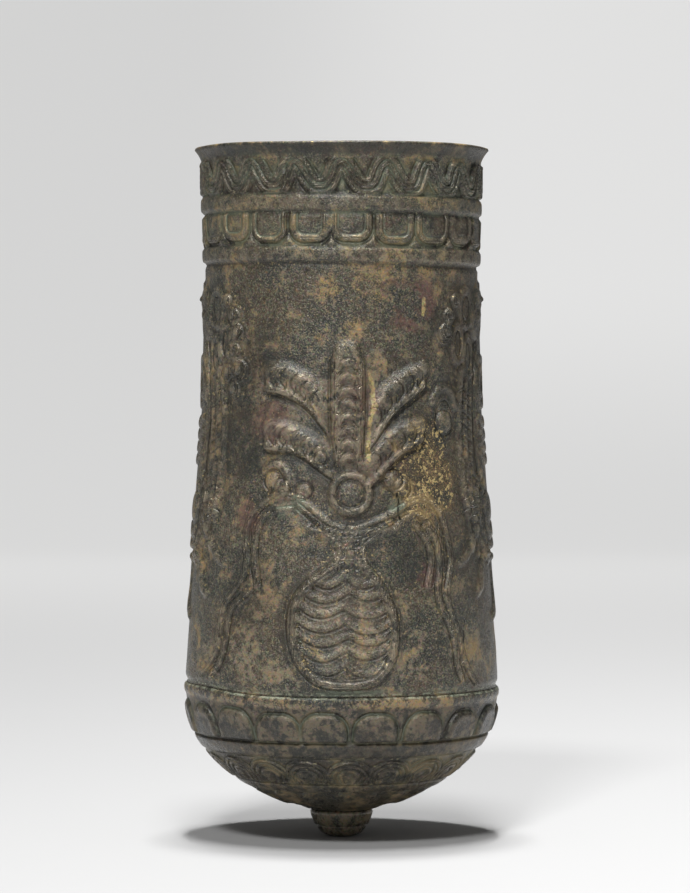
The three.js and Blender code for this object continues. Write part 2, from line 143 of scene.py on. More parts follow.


# %% [markdown]
# The board is card, its colour darker far away than in front and lighter on the right: painted light for the
# lamps' falloff. The backdrop glows only for the camera and, faintly, for the metal's reflections, so that it
# looks pale without throwing light on the vessel; its glow is a little brighter upper right, a painted patch
# of light.

# %% Board of the sweep
# Painted light: the board is darker far away and lighter on the right than on the left.
dim_far_grey = (0.35, 0.35, 0.348, 1.0)
dim_left_grey = (0.44, 0.44, 0.44, 1.0)
lit_right_grey = (0.505, 0.505, 0.505, 1.0)
glow_level = 0.525
board, tree, shader = new_material("studio_board")
places = add_node(tree, "ShaderNodeTexCoord").outputs["Object"]
axes = add_node(tree, "ShaderNodeSeparateXYZ", {"Vector": places}).outputs
near = remap(tree, axes["Y"], 1.15, 0.12)
up = remap(tree, axes["Z"], 0.0, 0.16)
right = remap(tree, axes["X"], -0.12, 0.12)
front = blend(tree, right, dim_left_grey, lit_right_grey)
shade = blend(tree, near, dim_far_grey, front)
tree.links.new(shade, shader.inputs["Base Color"])
shader.inputs["Roughness"].default_value = 0.8
shader.inputs["Specular IOR Level"].default_value = 0.1
rays = add_node(tree, "ShaderNodeLightPath").outputs
mirrored = math_node(tree, "MULTIPLY", rays["Is Glossy Ray"], 0.15)
seen = math_node(tree, "MAXIMUM", rays["Is Camera Ray"], mirrored)
far = remap(tree, axes["Y"], 0.08, 1.2)
# A painted patch of light: the backdrop's glow is a little brighter at the upper right.
upper_right = math_node(tree, "MULTIPLY", right, up)
painted_glow_patch = math_node(tree, "MULTIPLY", upper_right, 0.1)
level = math_node(tree, "ADD", glow_level, painted_glow_patch)
far_seen = math_node(tree, "MULTIPLY", far, seen)
glow = math_node(tree, "MULTIPLY", far_seen, level)
shader.inputs["Emission Color"].default_value = (1.0, 1.0, 0.995, 1.0)
tree.links.new(glow, shader.inputs["Emission Strength"])
sweep.data.materials.append(board)
print("board:", len(tree.nodes), "nodes")

# %% [markdown]
# A small lamp overhead makes the pool of shadow. A strip in front of it, long from front to back, brightens
# the top of every ridge. A third lamp, in front and to the left, lights the wall and gives the fainter
# shadow that falls back to the right. A pale world fills the rest.


# %% Lights
def add_lamp(name, place, aim_at, wide, long, watts):
    bpy.ops.object.light_add(type="AREA", location=place)
    lamp = bpy.context.object
    lamp.name = name
    lamp.data.shape = "RECTANGLE"
    lamp.data.size = wide
    lamp.data.size_y = long
    lamp.data.energy = watts
    lamp.rotation_euler = (Vector(aim_at) - lamp.location).to_track_quat("-Z", "Y").to_euler()


middle = (0.0, 0.0, 0.07)
add_lamp("top_lamp", (0.0, 0.05, 1.15), middle, 0.1, 0.1, 11.0)
add_lamp("strip_lamp", (0.0, -0.26, 1.12), middle, 0.12, 0.36, 8.5)
add_lamp("front_lamp", (-0.22, -0.96, 0.98), middle, 0.2, 0.2, 9.5)
world = bpy.data.worlds.new("studio_world")
scene.world = world
world.use_nodes = True
sky = world.node_tree.nodes["Background"].inputs
sky["Color"].default_value = (0.82, 0.82, 0.82, 1.0)
sky["Strength"].default_value = 0.2

# %% [markdown]
# The section of the vessel is drawn first. All sizes are in millimetres, and heights are from the nipple's
# tip. The side of each sheet is a smooth curve with four handles, so that the belly runs into the waist and
# the waist into the throat without a kink, as on metal that was raised over a stake.

# %% Sizes and curves of the section
sheet = 1.0
lap_gap = 0.15
seat = 5.6
hem_foot = 28.0
hem_top = 30.3
ledge = 30.35
waist = 98.9
throat = 134.95
lip_top = 139.95
hem_radius = 31.6
waist_radius = 27.4
throat_radius = 28.1
seat_radius = 6.2
neck_radius = 9.0


def curve(handles, count):
    share = np.linspace(0.0, 1.0, count)[:, None]
    a, b, c, d = (np.array(h, float) for h in handles)
    rest = 1.0 - share
    return a * rest**3 + 3 * b * rest**2 * share + 3 * c * rest * share**2 + d * share**3


waist_point = (waist_radius, waist)
throat_point = (throat_radius, throat)
belly_curve = curve([(31.75, ledge), (31.5, 46.8), (waist_radius, 74.9), waist_point], 400)
neck_curve = curve([waist_point, (waist_radius, 111.5), (throat_radius, 122.3), throat_point], 200)
lip_curve = curve([throat_point, (throat_radius, 136.6), (28.7, 138.2), (29.9, 139.55)], 60)
bowl_curve = curve([(hem_radius, hem_foot), (31.2, 17.92), (20.5, 10.0), (neck_radius, 6.6)], 600)
side = np.vstack([belly_curve, neck_curve[1:], lip_curve[1:]])
bowl_run = np.concatenate([[0.0], np.cumsum(np.hypot(*np.diff(bowl_curve, axis=0).T))])
print("side:", len(side), "points; bowl's run:", round(bowl_run[-1], 1), "mm")


def side_radius(height):
    return np.interp(height, side[:, 1], side[:, 0])


def on_bowl(run):
    """Points of the bowl's skin, at distances down its curve."""
    return np.column_stack([np.interp(run, bowl_run, bowl_curve[:, k]) for k in (0, 1)])


def bowl_inside(run, depth):
    """Points some way inside the bowl's skin, at distances down its curve."""
    step = 0.05
    along = on_bowl(run + step) - on_bowl(run - step)
    along /= np.hypot(along[:, 0], along[:, 1])[:, None]
    return on_bowl(run) + depth * np.column_stack([along[:, 1], -along[:, 0]])


# %% [markdown]
# A blank is turned as on a wheel: one half of the closed section is drawn by extruding a single vertex from
# point to point, and Spin carries it round the axis. The front half turn is spun in finer steps than the
# back one, because the camera looks at it. Then doubles are merged and the faces are made to point
# outwards.


# %% Turn a section into a blank
front_half = 88.0
merge_gap = 0.002


def turn_section(name, section, front_steps, back_steps):
    bpy.ops.object.select_all(action="DESELECT")
    bpy.ops.mesh.primitive_plane_add(size=mm)
    piece = bpy.context.object
    piece.name = name
    start = math.radians(-front_half)
    points = [Vector((r * math.sin(start), -r * math.cos(start), z)) * mm for r, z in section]
    bpy.ops.object.mode_set(mode="EDIT")
    bpy.ops.mesh.select_mode(type="VERT")
    bpy.ops.mesh.select_all(action="SELECT")
    bpy.ops.mesh.merge(type="CENTER")
    bpy.ops.transform.translate(value=points[0])
    for here, there in zip(points, points[1:] + points[:1]):
        bpy.ops.mesh.extrude_region_move(TRANSFORM_OT_translate={"value": there - here})
    bpy.ops.mesh.select_all(action="SELECT")
    bpy.ops.mesh.remove_doubles(threshold=merge_gap * mm)
    for steps, degrees in ((front_steps, 2 * front_half), (back_steps, 360 - 2 * front_half)):
        bpy.ops.mesh.spin(steps=steps, angle=-math.radians(degrees), center=(0, 0, 0), axis=(0, 0, 1))
    bpy.ops.mesh.select_all(action="SELECT")
    bpy.ops.mesh.remove_doubles(threshold=merge_gap * mm)
    bpy.ops.mesh.normals_make_consistent(inside=False)
    bpy.ops.object.mode_set(mode="OBJECT")
    bpy.ops.object.shade_smooth()
    print(name, "blank:", len(piece.data.vertices), "vertices,", len(piece.data.polygons), "faces")
    return piece


def places_of(piece):
    """Angle from the front in degrees, radius and height in millimetres, of every vertex."""
    flat = np.empty(3 * len(piece.data.vertices))
    piece.data.vertices.foreach_get("co", flat)
    x, y, z = flat.reshape(-1, 3).T / mm
    return np.degrees(np.arctan2(x, -y)), np.hypot(x, y), z


# %% [markdown]
# The wall is the tall sheet. Its outside has close rows all over, because the relief covers it, and its
# inside is coarse because nothing is chased there. The foot is set in by a sheet's thickness, so that it
# slips into the hem of the base.

# %% Wall blank
foot_outside = bowl_inside(np.array([3.5, 1.7, 0.0]), sheet + lap_gap)
foot_inside = bowl_inside(np.array([0.0, 3.5]), 2 * sheet + lap_gap)
field_rows = np.linspace(ledge + 0.1, 115.6, 196)
band_rows = np.linspace(116.0, 136.8, 56)
lip_rows = np.linspace(137.2, 139.5, 6)
outer_rows = np.concatenate([field_rows, band_rows, lip_rows])
inner_rows = np.array([138.3, 136.2, 132.0, 118.0, 99.0, 80.0, 62.0, 46.0, 36.0])
wall_section = [
    *foot_outside,
    (30.45, ledge),
    (31.5, ledge),
    *np.column_stack([side_radius(outer_rows), outer_rows]),
    (29.75, lip_top - 0.12),
    (29.4, lip_top),
    (28.95, lip_top - 0.05),
    (28.75, lip_top - 0.35),
    *np.column_stack([side_radius(inner_rows) - sheet, inner_rows]),
    (30.75, ledge + 1.2),
    (29.45, ledge - 0.6),
    *foot_inside,
]
wall = turn_section("wall_sheet", wall_section, 214, 142)
wall_angle, wall_r, wall_z = places_of(wall)
wall_skin = (np.abs(wall_r - side_radius(wall_z)) < 0.2) & (wall_z > ledge + 0.05)
print("places on the wall's skin:", int(wall_skin.sum()))

# %% [markdown]
# Drawing on the skin. A line is a few points of angle and height that a smooth curve runs through. For each
# place on the skin its distance to the line is measured in millimetres along the metal, and a section
# across the line turns that distance into a height: a round ridge, a chased groove or the sloping edge of a
# pad.


# %% Drawing tools
def smooth_line(points, steps=5, closed=False):
    p = np.array(points, float)
    if closed:
        p = np.vstack([p[-1], p, p[0], p[1]])
    else:
        p = np.vstack([2 * p[0] - p[1], p, 2 * p[-1] - p[-2]])
    share = np.arange(steps)[:, None] / steps
    runs = []
    for a, b, c, d in zip(p, p[1:], p[2:], p[3:]):
        bend = (3 * b - a - 3 * c + d) * share**3
        runs.append(0.5 * (2 * b + (c - a) * share + (2 * a - 5 * b + 4 * c - d) * share**2 + bend))
    last = p[1] if closed else p[-2]
    return np.vstack([*runs, last])


def ease(value, start, end):
    """0 at the start, 1 at the end, and smooth between them."""
    share = np.clip((value - start) / (end - start), 0.0, 1.0)
    return share * share * (3 - 2 * share)


def crown(distance):
    """A round section with a crisp foot: 1 in the middle, 0 from 1 outwards."""
    t = np.clip(1.0 - distance**2, 0.0, 1.0)
    return t * (1.6 - 0.6 * t)


def wander(angle, along, size, seed):
    """A smooth, repeatable unevenness between -1 and 1 that closes on itself round the vessel."""
    total = np.zeros_like(angle)
    for k in range(1, 6):
        turns = round(190.0 / (size * (0.7 + 0.25 * k)))
        slope = 2 * math.pi / (size * (0.75 + 0.2 * k))
        phase = seed * 1.7 + k * 2.39
        total += np.sin(np.radians(angle) * turns + phase + np.sin(along * slope + 1.3 * phase))
        total += np.sin(along * slope * 1.1 - np.radians(angle) * max(turns - 3, 1) + 2.1 * phase)
    return total / 5.0


# %% [markdown]
# A skin holds the places on a sheet's outside and the height of the relief at each. Its tools draw on it:
# ridges and knobs add to the height, a pad raises a whole form, and a chased line is kept as a distance, by
# which the metal's surface is cut later.

# %% Skin of a sheet
far_off = 3.0
line_reach = 2.5


class Skin:
    """Places on a sheet's outside, by angle in degrees and millimetres along the section."""

    def __init__(self, angle, along, radius):
        self.angle, self.along, self.radius = angle, along, radius
        self.degree = np.radians(radius)
        self.height = np.zeros_like(angle)
        self.line = np.full_like(angle, far_off)
        self.side = np.full_like(angle, far_off)

    def turned(self, axis, mirror=1):
        """The same places, with angles measured from another axis."""
        local = Skin(mirror * ((self.angle - axis + 180.0) % 360.0 - 180.0), self.along, self.radius)
        local.height, local.line, local.side = self.height, self.line, self.side
        return local

    def near(self, line, margin):
        """The places in a box round a line, with a margin in millimetres."""
        low, high = line.min(axis=0) - margin, line.max(axis=0) + margin
        wide = margin / 0.45
        inside = (self.angle > low[0] - wide) & (self.angle < high[0] + wide)
        return np.nonzero(inside & (self.along > low[1]) & (self.along < high[1]))[0]

    def distance(self, spots, line, signed=False):
        """Distance to a line, and with a sign for its two sides."""
        best = np.full(len(spots), 1e9)
        side = np.ones(len(spots))
        a, z, s = self.angle[spots], self.along[spots], self.degree[spots]
        for (a0, z0), (a1, z1) in zip(line[:-1], line[1:]):
            ex, ez = (a1 - a0) * s, z1 - z0
            px, pz = (a - a0) * s, z - z0
            share = np.clip((px * ex + pz * ez) / (ex * ex + ez * ez + 1e-12), 0.0, 1.0)
            reach = np.hypot(px - share * ex, pz - share * ez)
            side = np.where(reach < best, np.where(ex * pz > ez * px, 1.0, -1.0), side)
            best = np.minimum(best, reach)
        return best * side if signed else best

    def ridge(self, points, half, rise, steps=5, closed=False):
        """A round ridge along a line, added to what is there. A negative rise makes a trench."""
        line = smooth_line(points, steps, closed)
        spots = self.near(line, half)
        self.height[spots] += rise * crown(self.distance(spots, line) / half)

    def cut(self, spots, signed):
        """Keep the distance to the nearest fine line. The metal's surface is cut by it later."""
        nearer = np.abs(signed) < self.line[spots]
        self.line[spots] = np.where(nearer, np.abs(signed), self.line[spots])
        self.side[spots] = np.where(nearer, signed, self.side[spots])

    def chase(self, points, steps=5, closed=False):
        """A fine chased line."""
        line = smooth_line(points, steps, closed)
        spots = self.near(line, line_reach)
        self.cut(spots, self.distance(spots, line, signed=True))

    def pad(self, outline, rise, slope, steps=5, swell=0.0, fade=None):
        """A raised form inside a closed outline, with sloping edges and a crowned middle."""
        line = smooth_line(outline, steps, closed=True)
        spots = self.near(line, 0.1)
        a, z = self.angle[spots], self.along[spots]
        inside = np.zeros(len(spots), bool)
        for (a0, z0), (a1, z1) in zip(line[:-1], line[1:]):
            crosses = (z0 > z) != (z1 > z)
            inside ^= crosses & (a < a0 + (z - z0) * (a1 - a0) / (z1 - z0 + 1e-12))
        depth = np.where(inside, self.distance(spots, line), 0.0)
        edge = np.clip(depth / slope, 0.0, 1.0)
        lift = rise * edge * (2 - edge) + swell * (1 - np.exp(-depth / 1.5))
        if fade:
            lift *= ease(a, *fade)
        self.height[spots] = np.maximum(self.height[spots], lift)

    def knob(self, angle, along, radius, rise):
        """A round boss, added to what is there."""
        spots = self.near(np.array([[angle, along]]), radius)
        reach = np.hypot((self.angle[spots] - angle) * self.degree[spots], self.along[spots] - along)
        self.height[spots] += rise * crown(reach / radius)

    def stain(self, spots):
        """Soft round patches, each an angle, a height, a radius and a strength."""
        total = np.zeros_like(self.angle)
        for angle, along, radius, strength in spots:
            off = (self.angle - angle + 180.0) % 360.0 - 180.0
            reach = np.hypot(off * self.degree, self.along - along)
            total = np.maximum(total, strength * ease(reach, radius, 0.3 * radius))
        return total


skin = Skin(wall_angle[wall_skin], wall_z[wall_skin], wall_r[wall_skin])
print("skin of the wall:", round(skin.along.min(), 1), "to", round(skin.along.max(), 1), "mm high")

# %% [markdown]
# The bands under the lip. Two plain beads, each with a chased groove under it, fence off a row of hanging
# tongues and a running scroll. One unit of each row is drawn and then repeated by folding the angle, with a
# little unevenness from unit to unit, since each one was punched by eye.

# %% Beads, tongues and scrolls
lean = 0.3 * np.sin(np.radians(skin.angle)) + 0.16 * wander(skin.angle, skin.along * 0 + 1.0, 60.0, 1)
level = skin.along + lean
for bead_middle, bead_half in ((127.75, 1.7), (117.6, 1.6)):
    across = (level - bead_middle) / bead_half
    skin.height += 0.55 * crown(across) ** 0.45
    skin.height -= 0.3 * crown((level - bead_middle + bead_half + 0.25) / 0.6)
    skin.height -= 0.15 * crown((level - bead_middle - bead_half - 0.15) / 0.5)


def folded(angle, count, phase, seed):
    """The unit that a place lies in, and its distance in degrees from that unit's middle."""
    pitch = 360.0 / count
    turns = (angle - phase) / pitch
    unit = np.floor(turns + 0.5) % count
    jitter = 0.05 * np.sin(unit * 12.9898 + seed)
    return unit, (turns - np.floor(turns + 0.5) + jitter) * pitch


def rounded_edge(side_gap, end_gap, corner):
    """Distance from the edge of a form with two round corners, negative inside."""
    inner = np.minimum(np.maximum(side_gap, end_gap), 0)
    return np.hypot(np.maximum(side_gap, 0), np.maximum(end_gap, 0)) + inner - corner


tongue_count = 20
unit, off = folded(skin.angle, tongue_count, 4.2, 3.0)
half_width = 4.15 + 0.12 * np.sin(unit * 7.3)
tongue_foot = 119.9 + 0.22 * np.sin(unit * 4.1 + 1.0)
corner = 3.0
edge = rounded_edge(np.abs(off * skin.degree) - (half_width - corner), tongue_foot + corner - level, corner)
inner_edge = edge + 1.5 + 0.25 * np.sin(unit * 2.7)
in_band = ease(level, 119.1, 119.5) * ease(level, 125.95, 125.6)
border = 0.42 * ease(edge, 0.15, -0.6) - 0.26 * ease(inner_edge, 0.25, -0.3)
spandrel = 0.45 * ease(edge, 0.55, 0.95) * ease(level, 121.6, 121.0)
skin.height += in_band * (border + spandrel - 0.25 * crown((edge - 0.3) / 0.45))
panel = in_band * ease(inner_edge, 0.3, -0.3)
tongue_spots = np.nonzero(in_band > 0.5)[0]
for gap in (edge - 0.25, inner_edge):
    skin.cut(tongue_spots, gap[tongue_spots])

scroll_count = 19
scroll_wave = [(-0.58, 131.3), (-0.5, 133.0), (-0.42, 134.9), (-0.34, 135.7), (-0.26, 135.6), (-0.16, 134.5),
               (-0.06, 133.0), (0.04, 131.7), (0.14, 131.0), (0.28, 130.9), (0.38, 131.2), (0.46, 132.4),
               (0.52, 133.8), (0.59, 135.1), (0.68, 135.7)]
unit, off = folded(skin.angle, scroll_count, -14.0, 5.0)
pitch = 360.0 / scroll_count
scroll = Skin(off, level + 0.15 * np.sin(unit * 3.7), skin.radius)
wave = smooth_line([(u * pitch, z) for u, z in scroll_wave], 6)
band = np.nonzero((level > 129.3) & (level < 137.2))[0]
reach = scroll.distance(band, wave, signed=True)
in_band = ease(level[band], 129.4, 129.9) * ease(level[band], 136.9, 136.3)
ribbon = 0.12 * crown(reach / 2.3)
for rib in (-1.3, 0.0, 1.3):
    ribbon += 0.55 * crown((reach - rib) / 0.58) ** 0.8
skin.height[band] += in_band * (ribbon - 0.2 * crown((np.abs(reach) - 2.3) / 0.5))
panel[band] += in_band * ease(np.abs(reach), 2.3, 1.9)
for gap in (reach - 0.65, reach + 0.65, reach - 2.1, reach + 2.1):
    skin.cut(band, np.where(in_band > 0.5, gap, far_off))
print("bands: heights from", round(skin.height.min(), 2), "to", round(skin.height.max(), 2), "mm")

# %% [markdown]
# The tree on the front: a bulb filled with scales, a trunk that opens into a saucer, a disc, five leaves
# and streams that fall on both sides. The broad forms are pads, which a punch pushes up from the inside.
# Their lines are ridges, and the grooves that set them off are chased last. The leaves come first. The
# middle one is filled with nested arcs, and the four beside it are made by one function.


# %% Leaves of the tree
def shifted(line, turn, lift):
    """The same line, moved by some degrees and millimetres."""
    return [(angle + turn, along + lift) for angle, along in line]


def leaf(area, top, foot, scales):
    """A leaf between two lines that start at its round end, open towards the middle of the tree."""
    outward = 1 if top[0][0] > top[-1][0] else -1
    tip = (0.5 * (top[0][0] + foot[0][0]) + 1.6 * outward, 0.5 * (top[0][1] + foot[0][1]))
    base = top[-1][0]
    area.pad([*reversed(top), tip, *foot], 0.7, 1.2, fade=(base, base + 5 * outward))
    area.ridge(shifted(top, 0, -0.9), 1.6, 0.55)
    area.ridge(shifted(foot, 0, 0.5), 0.9, 0.5)
    area.ridge(shifted([tip, *foot], 0, -0.7), 0.7, -0.35)
    area.chase(shifted(foot, 0, -0.35))
    for angle, along in scales:
        arc = [(angle - 0.8 * outward, along + 1.7), (angle + 1.1 * outward, along + 1.0),
               (angle + 1.5 * outward, along - 0.4), (angle - 0.2 * outward, along - 1.6)]
        area.chase(arc, 4)


def draw_middle_leaf(area):
    left = [(-2.2, 76.5), (-4.0, 82.0), (-4.4, 90.0), (-4.2, 96.5), (-1.6, 100.2)]
    right = [(6.8, 100.2), (9.4, 97.0), (9.8, 91.5), (9.4, 84.0), (8.4, 77.5)]
    middle_angle = 2.7
    area.pad([*left, *right], 0.75, 1.3, swell=0.2)
    area.knob(2.6, 98.2, 3.0, 0.3)
    area.chase(shifted(left[:-1], -0.5, 0))
    area.chase(shifted(right[1:], 0.5, 0))
    for k in range(8):
        top, wide = 97.0 - 2.65 * k, 4.6 - 0.2 * k
        arc = [(-wide, -2.3), (-0.7 * wide, -0.7), (0.0, 0.0), (0.7 * wide, -0.7), (wide, -2.3)]
        arc = shifted(arc, middle_angle, top)
        area.ridge(shifted(arc, 0, -0.6), 0.75, 0.4)
        area.ridge(shifted(arc[1:-1], 0, -1.7), 0.8, -0.25)
        area.chase(shifted(arc, 0, 0.15))


def draw_side_leaves(area):
    leaf(area, [(-31.5, 95.8), (-25, 96.2), (-18, 95.0), (-12, 92.8), (-5.0, 88.6)],
         [(-32.5, 90.6), (-26, 90.0), (-18, 88.4), (-12, 86.0), (-5.4, 81.8)],
         [(-28.5, 93.2), (-24, 93.1), (-19.5, 92.1), (-15.5, 90.6), (-11.5, 88.6)])
    leaf(area, [(-31.5, 84.5), (-26, 84.8), (-19, 83.6), (-12, 82.0), (-4.0, 78.4)],
         [(-32.5, 79.1), (-27, 78.8), (-19, 78.3), (-12, 76.2), (-4.4, 73.6)],
         [(-28.5, 81.8), (-24, 81.6), (-19, 80.9), (-15, 79.8), (-10.5, 78.0)])
    leaf(area, [(36.5, 96.4), (30, 95.5), (23, 93.7), (17, 90.8), (10.6, 86.0)],
         [(36.0, 91.2), (28, 88.5), (23, 86.5), (17, 82.9), (10.8, 78.8)],
         [(15.0, 85.6), (19.5, 88.4), (24.5, 90.8), (29.5, 92.3), (33.5, 93.4)])
    leaf(area, [(34.5, 85.2), (28, 84.8), (22, 83.5), (16, 81.2), (9.4, 77.2)],
         [(34.5, 80.6), (29, 79.3), (23, 77.4), (17, 74.4), (11.0, 71.6)],
         [(14.5, 76.8), (19.5, 79.3), (25, 81.1), (30, 82.2)])


# %% [markdown]
# Round buds sit where the leaves part, each a boss with a chased ring. Under the leaves comes the disc, a
# ring round a knob, and it lies in a shallow saucer of two ribs.


# %% Buds, disc and saucer
def ring_line(angle, along, wide, tall):
    """An oval, with half its width in degrees and half its height in millimetres."""
    turns = np.linspace(0, 2 * math.pi, 13)[:-1]
    return [(angle + wide * math.sin(t), along + tall * math.cos(t)) for t in turns]


def draw_buds(area):
    area.ridge([(40.5, 88.6), (43.5, 90.8), (48, 91.4), (52, 90.2), (54.5, 87.4)], 0.9, 0.6)
    area.chase([(42.5, 86.4), (45, 88.4), (48.5, 88.8), (51, 87.4)])
    area.ridge([(-32, 74.6), (-29.5, 76.2), (-25.5, 76.2), (-21.5, 74.0), (-21, 71.6)], 0.8, 0.6)
    buds = ((47, 84.4, 2.3), (-8.2, 77.4, 1.3), (-28, 73.0, 1.9), (-23.6, 71.6, 1.6), (-15, 71.0, 1.7),
            (20.6, 73.4, 2.0), (24.6, 71.6, 1.9))
    for angle, along, radius in buds:
        area.knob(angle, along, radius, 0.35 * radius)
        area.chase(ring_line(angle, along, 2.2 * radius, 1.1 * radius), 3, closed=True)
    for k in range(8):
        start = -40.5 + 1.35 * k
        area.chase([(start, 67.2 + 0.22 * k), (start + 1.5, 69.4 + 0.2 * k)], 1)


def draw_disc(area):
    disc_angle, disc_height = 3.6, 70.5
    area.pad(ring_line(disc_angle, disc_height, 8.6, 4.3), 0.3, 0.5)
    area.ridge(ring_line(disc_angle, disc_height, 7.4, 3.7), 0.95, 0.5, closed=True)
    area.knob(4.0, disc_height, 2.4, 0.35)
    area.ridge(ring_line(disc_angle, disc_height, 9.4, 4.7), 0.55, -0.25, closed=True)
    area.chase(ring_line(disc_angle, disc_height, 5.4, 2.7), 5, closed=True)
    saucer = [(-17, 69.6), (-12.5, 67.8), (-8, 65.9), (-3, 64.5), (2.5, 63.9), (8, 64.2), (14, 65.3),
              (20, 66.6)]
    area.ridge(saucer, 0.75, 0.55)
    area.ridge(shifted(saucer, 0, -1.6), 0.65, 0.36)
    area.ridge(shifted(saucer[3:], 0, 1.1), 0.8, -0.42)
    area.chase(shifted(saucer, 0, -0.8))
    area.chase(shifted(saucer, 0, -2.4))


# %% [markdown]
# The trunk and the bulb are one pad with a raised rim. Small scales are chased on the trunk. The bulb holds
# seven rows of larger ones, and each row is two hanging cups.


# %% Trunk and bulb
def scaled(line, wide, tall):
    """The same line, drawn in or out about the bulb's middle."""
    middle = np.array((0.7, 44.5))
    return middle + (np.array(line) - middle) * (wide, tall)


def draw_bulb(area):
    trunk_left = [(-13, 64.0), (-7, 62.8), (-2.6, 60.8), (-1.2, 58.8), (-3.6, 57.0)]
    trunk_right = [(22, 64.0), (15.5, 62.8), (10.4, 61.0), (8.6, 59.0), (9.4, 57.0)]
    bulb_left = [(-8, 55.4), (-13.5, 53.2), (-17.8, 50.4), (-19.8, 46.6), (-19.4, 42.0), (-17, 38.0),
                 (-13, 34.8), (-7.5, 32.6)]
    bulb_right = [(13.5, 54.4), (17.4, 51.0), (20.2, 47.2), (21.0, 43.0), (19.8, 38.6), (16, 34.8),
                  (11, 32.6)]
    bulb_foot = (1.5, 31.9)
    bulb_rim = [*trunk_left[3:], *bulb_left, bulb_foot, *reversed(bulb_right), *reversed(trunk_right[3:])]
    area.pad([*trunk_left[:3], *bulb_rim, *reversed(trunk_right[:3])], 0.55, 0.8, swell=0.3)
    area.ridge(scaled(bulb_rim, 0.95, 0.96), 1.6, 0.5)
    area.chase(scaled(bulb_rim, 1.03, 1.03))
    area.chase(scaled(bulb_rim, 0.87, 0.88))
    for line, turn in ((trunk_left, 1.6), (trunk_right, -1.6)):
        area.ridge(line, 0.7, 0.45)
        area.chase(shifted(line, turn, 0))


def draw_scales(area):
    small_scale = [(-1.9, 0.9), (-1.2, -0.2), (0.0, -0.6), (1.2, -0.2), (1.9, 0.9)]
    for k in range(4):
        for angle in (1.6, 5.6) if k % 2 else (-0.2, 3.6, 7.4):
            area.chase(shifted(small_scale, angle, 62.8 - 2.2 * k), 3)
    for k in range(7):
        along = 53.6 - 2.85 * k
        left, right = -15.6 + 0.42 * (k - 3) ** 2, 18.4 - 0.42 * (k - 3) ** 2
        angles = np.linspace(left, right, 21)
        peak = 1.5 + 0.8 * math.sin(2.1 * k)
        cups = np.where(angles < peak, (angles - left) / (peak - left), (angles - peak) / (right - peak))
        fall = along - 1.9 * np.sin(np.pi * cups) ** 0.8 + 0.5 * np.sin(1.7 * k) * (angles > peak)
        row = np.column_stack([angles, fall])
        area.ridge(row + (0, 0.8), 0.85, 0.3, steps=1)
        area.chase(row, 1)


# %% [markdown]
# Streams run from the saucer's ends out and down to the joint, three on each side. Each is a ribbon: a
# ridge with a chased line on both sides.

# %% Streams
streams = (
    [(-17, 69.8), (-25, 70.3), (-33, 68.2), (-38.5, 65.2), (-40.2, 61.5), (-39, 57.4), (-40, 54), (-44, 51.2),
     (-48.4, 48.6), (-50.6, 45.4), (-51.2, 40.8), (-54.5, 37.2), (-59, 34.4), (-62.5, 32.6)],
    [(-21, 67.8), (-29, 67.0), (-34.2, 63.4), (-35.6, 60), (-35, 56.6), (-33.4, 52.6)],
    [(-37, 50.6), (-42, 48.8), (-46, 46.8), (-47.2, 43.8), (-47.7, 41), (-49.2, 37.8), (-51.4, 35.2),
     (-55, 32.8)],
    [(20, 66.6), (27, 68.7), (35, 69.2), (42, 66.8), (45.2, 62), (46.6, 57.4), (44.6, 53.4), (43, 50),
     (45.6, 45.6), (48.4, 41.6), (50.6, 37.6), (54, 34.4), (57.5, 32.2)],
    [(22, 64.6), (30, 66.6), (36, 64), (39.6, 60.4), (40.4, 56), (39, 51.6), (40, 48), (43.4, 44.8),
     (46.2, 40.6), (47.2, 36.2), (49.4, 33.2)],
    [(31, 63.6), (35.4, 60.6), (36.6, 57), (34.2, 52.4)],
)


def draw_streams(area):
    for line in streams:
        area.ridge(line, 0.8, 0.42)
        area.chase(shifted(line, 1.7, 0.3))
        area.chase(shifted(line, -1.6, 0.0))


# %% [markdown]
# The front tree is as in the photograph. The back, which it doesn't show, has the same tree the other way
# round, as such beakers repeat their motifs.

# %% Both trees
for area in (skin.turned(0.0), skin.turned(181.0, mirror=-1)):
    draw_middle_leaf(area)
    draw_side_leaves(area)
    draw_buds(area)
    draw_disc(area)
    draw_bulb(area)
    draw_scales(area)
    draw_streams(area)
print("with trees:", round(skin.height.min(), 2), "to", round(skin.height.max(), 2), "mm")

# %% [markdown]
# A rampant beast stands on each side between the trees and shows only at the edges of the photograph. Locks
# and a string of round curls hang before its head, and it has a long foreleg, a ringed shoulder, ribs, a
# haunch with nested lines and a tail. It is drawn once, as for the right side, and the left one is its
# mirror image with more curls.


# %% Body, head and horn of a beast
def draw_body(area):
    body = [(76, 101), (83, 104), (90, 99), (95, 86), (99, 72), (98, 62), (90, 58), (80, 60), (75, 68),
            (72, 80), (71, 92)]
    head = [(69, 103), (71, 107.5), (76, 111), (83, 111.4), (88.5, 108.5), (89, 103.5), (83, 100.5),
            (75, 100.5)]
    area.pad(body, 0.55, 1.0, swell=0.3)
    area.chase(body, 3, closed=True)
    area.pad(head, 0.65, 1.0, swell=0.25)
    area.ridge([(69, 104), (72, 108.6), (78, 111.4), (84, 111.2), (89, 107.6)], 0.8, 0.3)
    area.chase([(78, 108), (84, 108.6), (87.5, 105)])
    area.knob(78, 106.0, 1.2, 0.4)
    area.ridge([(87, 109.5), (92, 112.2), (99, 110.6), (104, 104.5), (104.5, 97.5)], 0.9, 0.5)
    area.chase([(89, 106.8), (94, 109), (99, 107), (101.5, 101.5)])


# %% [markdown]
# The locks are flat ovals with a ridge round them. The curls are small bosses with chased rings, strung on a
# low ridge.

# %% Locks and curls
locks = ((64, 107.2, 6.2, 3.8), (57, 100.2, 4.2, 3.9), (66, 97.6, 4.6, 4.2))
curls = ((53.8, 108.7, 1.2), (49.6, 105.7, 1.4), (47.7, 102.4, 1.6), (49.6, 98.5, 1.7), (46.2, 94.8, 1.9),
         (54.4, 94.4, 1.6), (49.8, 91.0, 1.6))


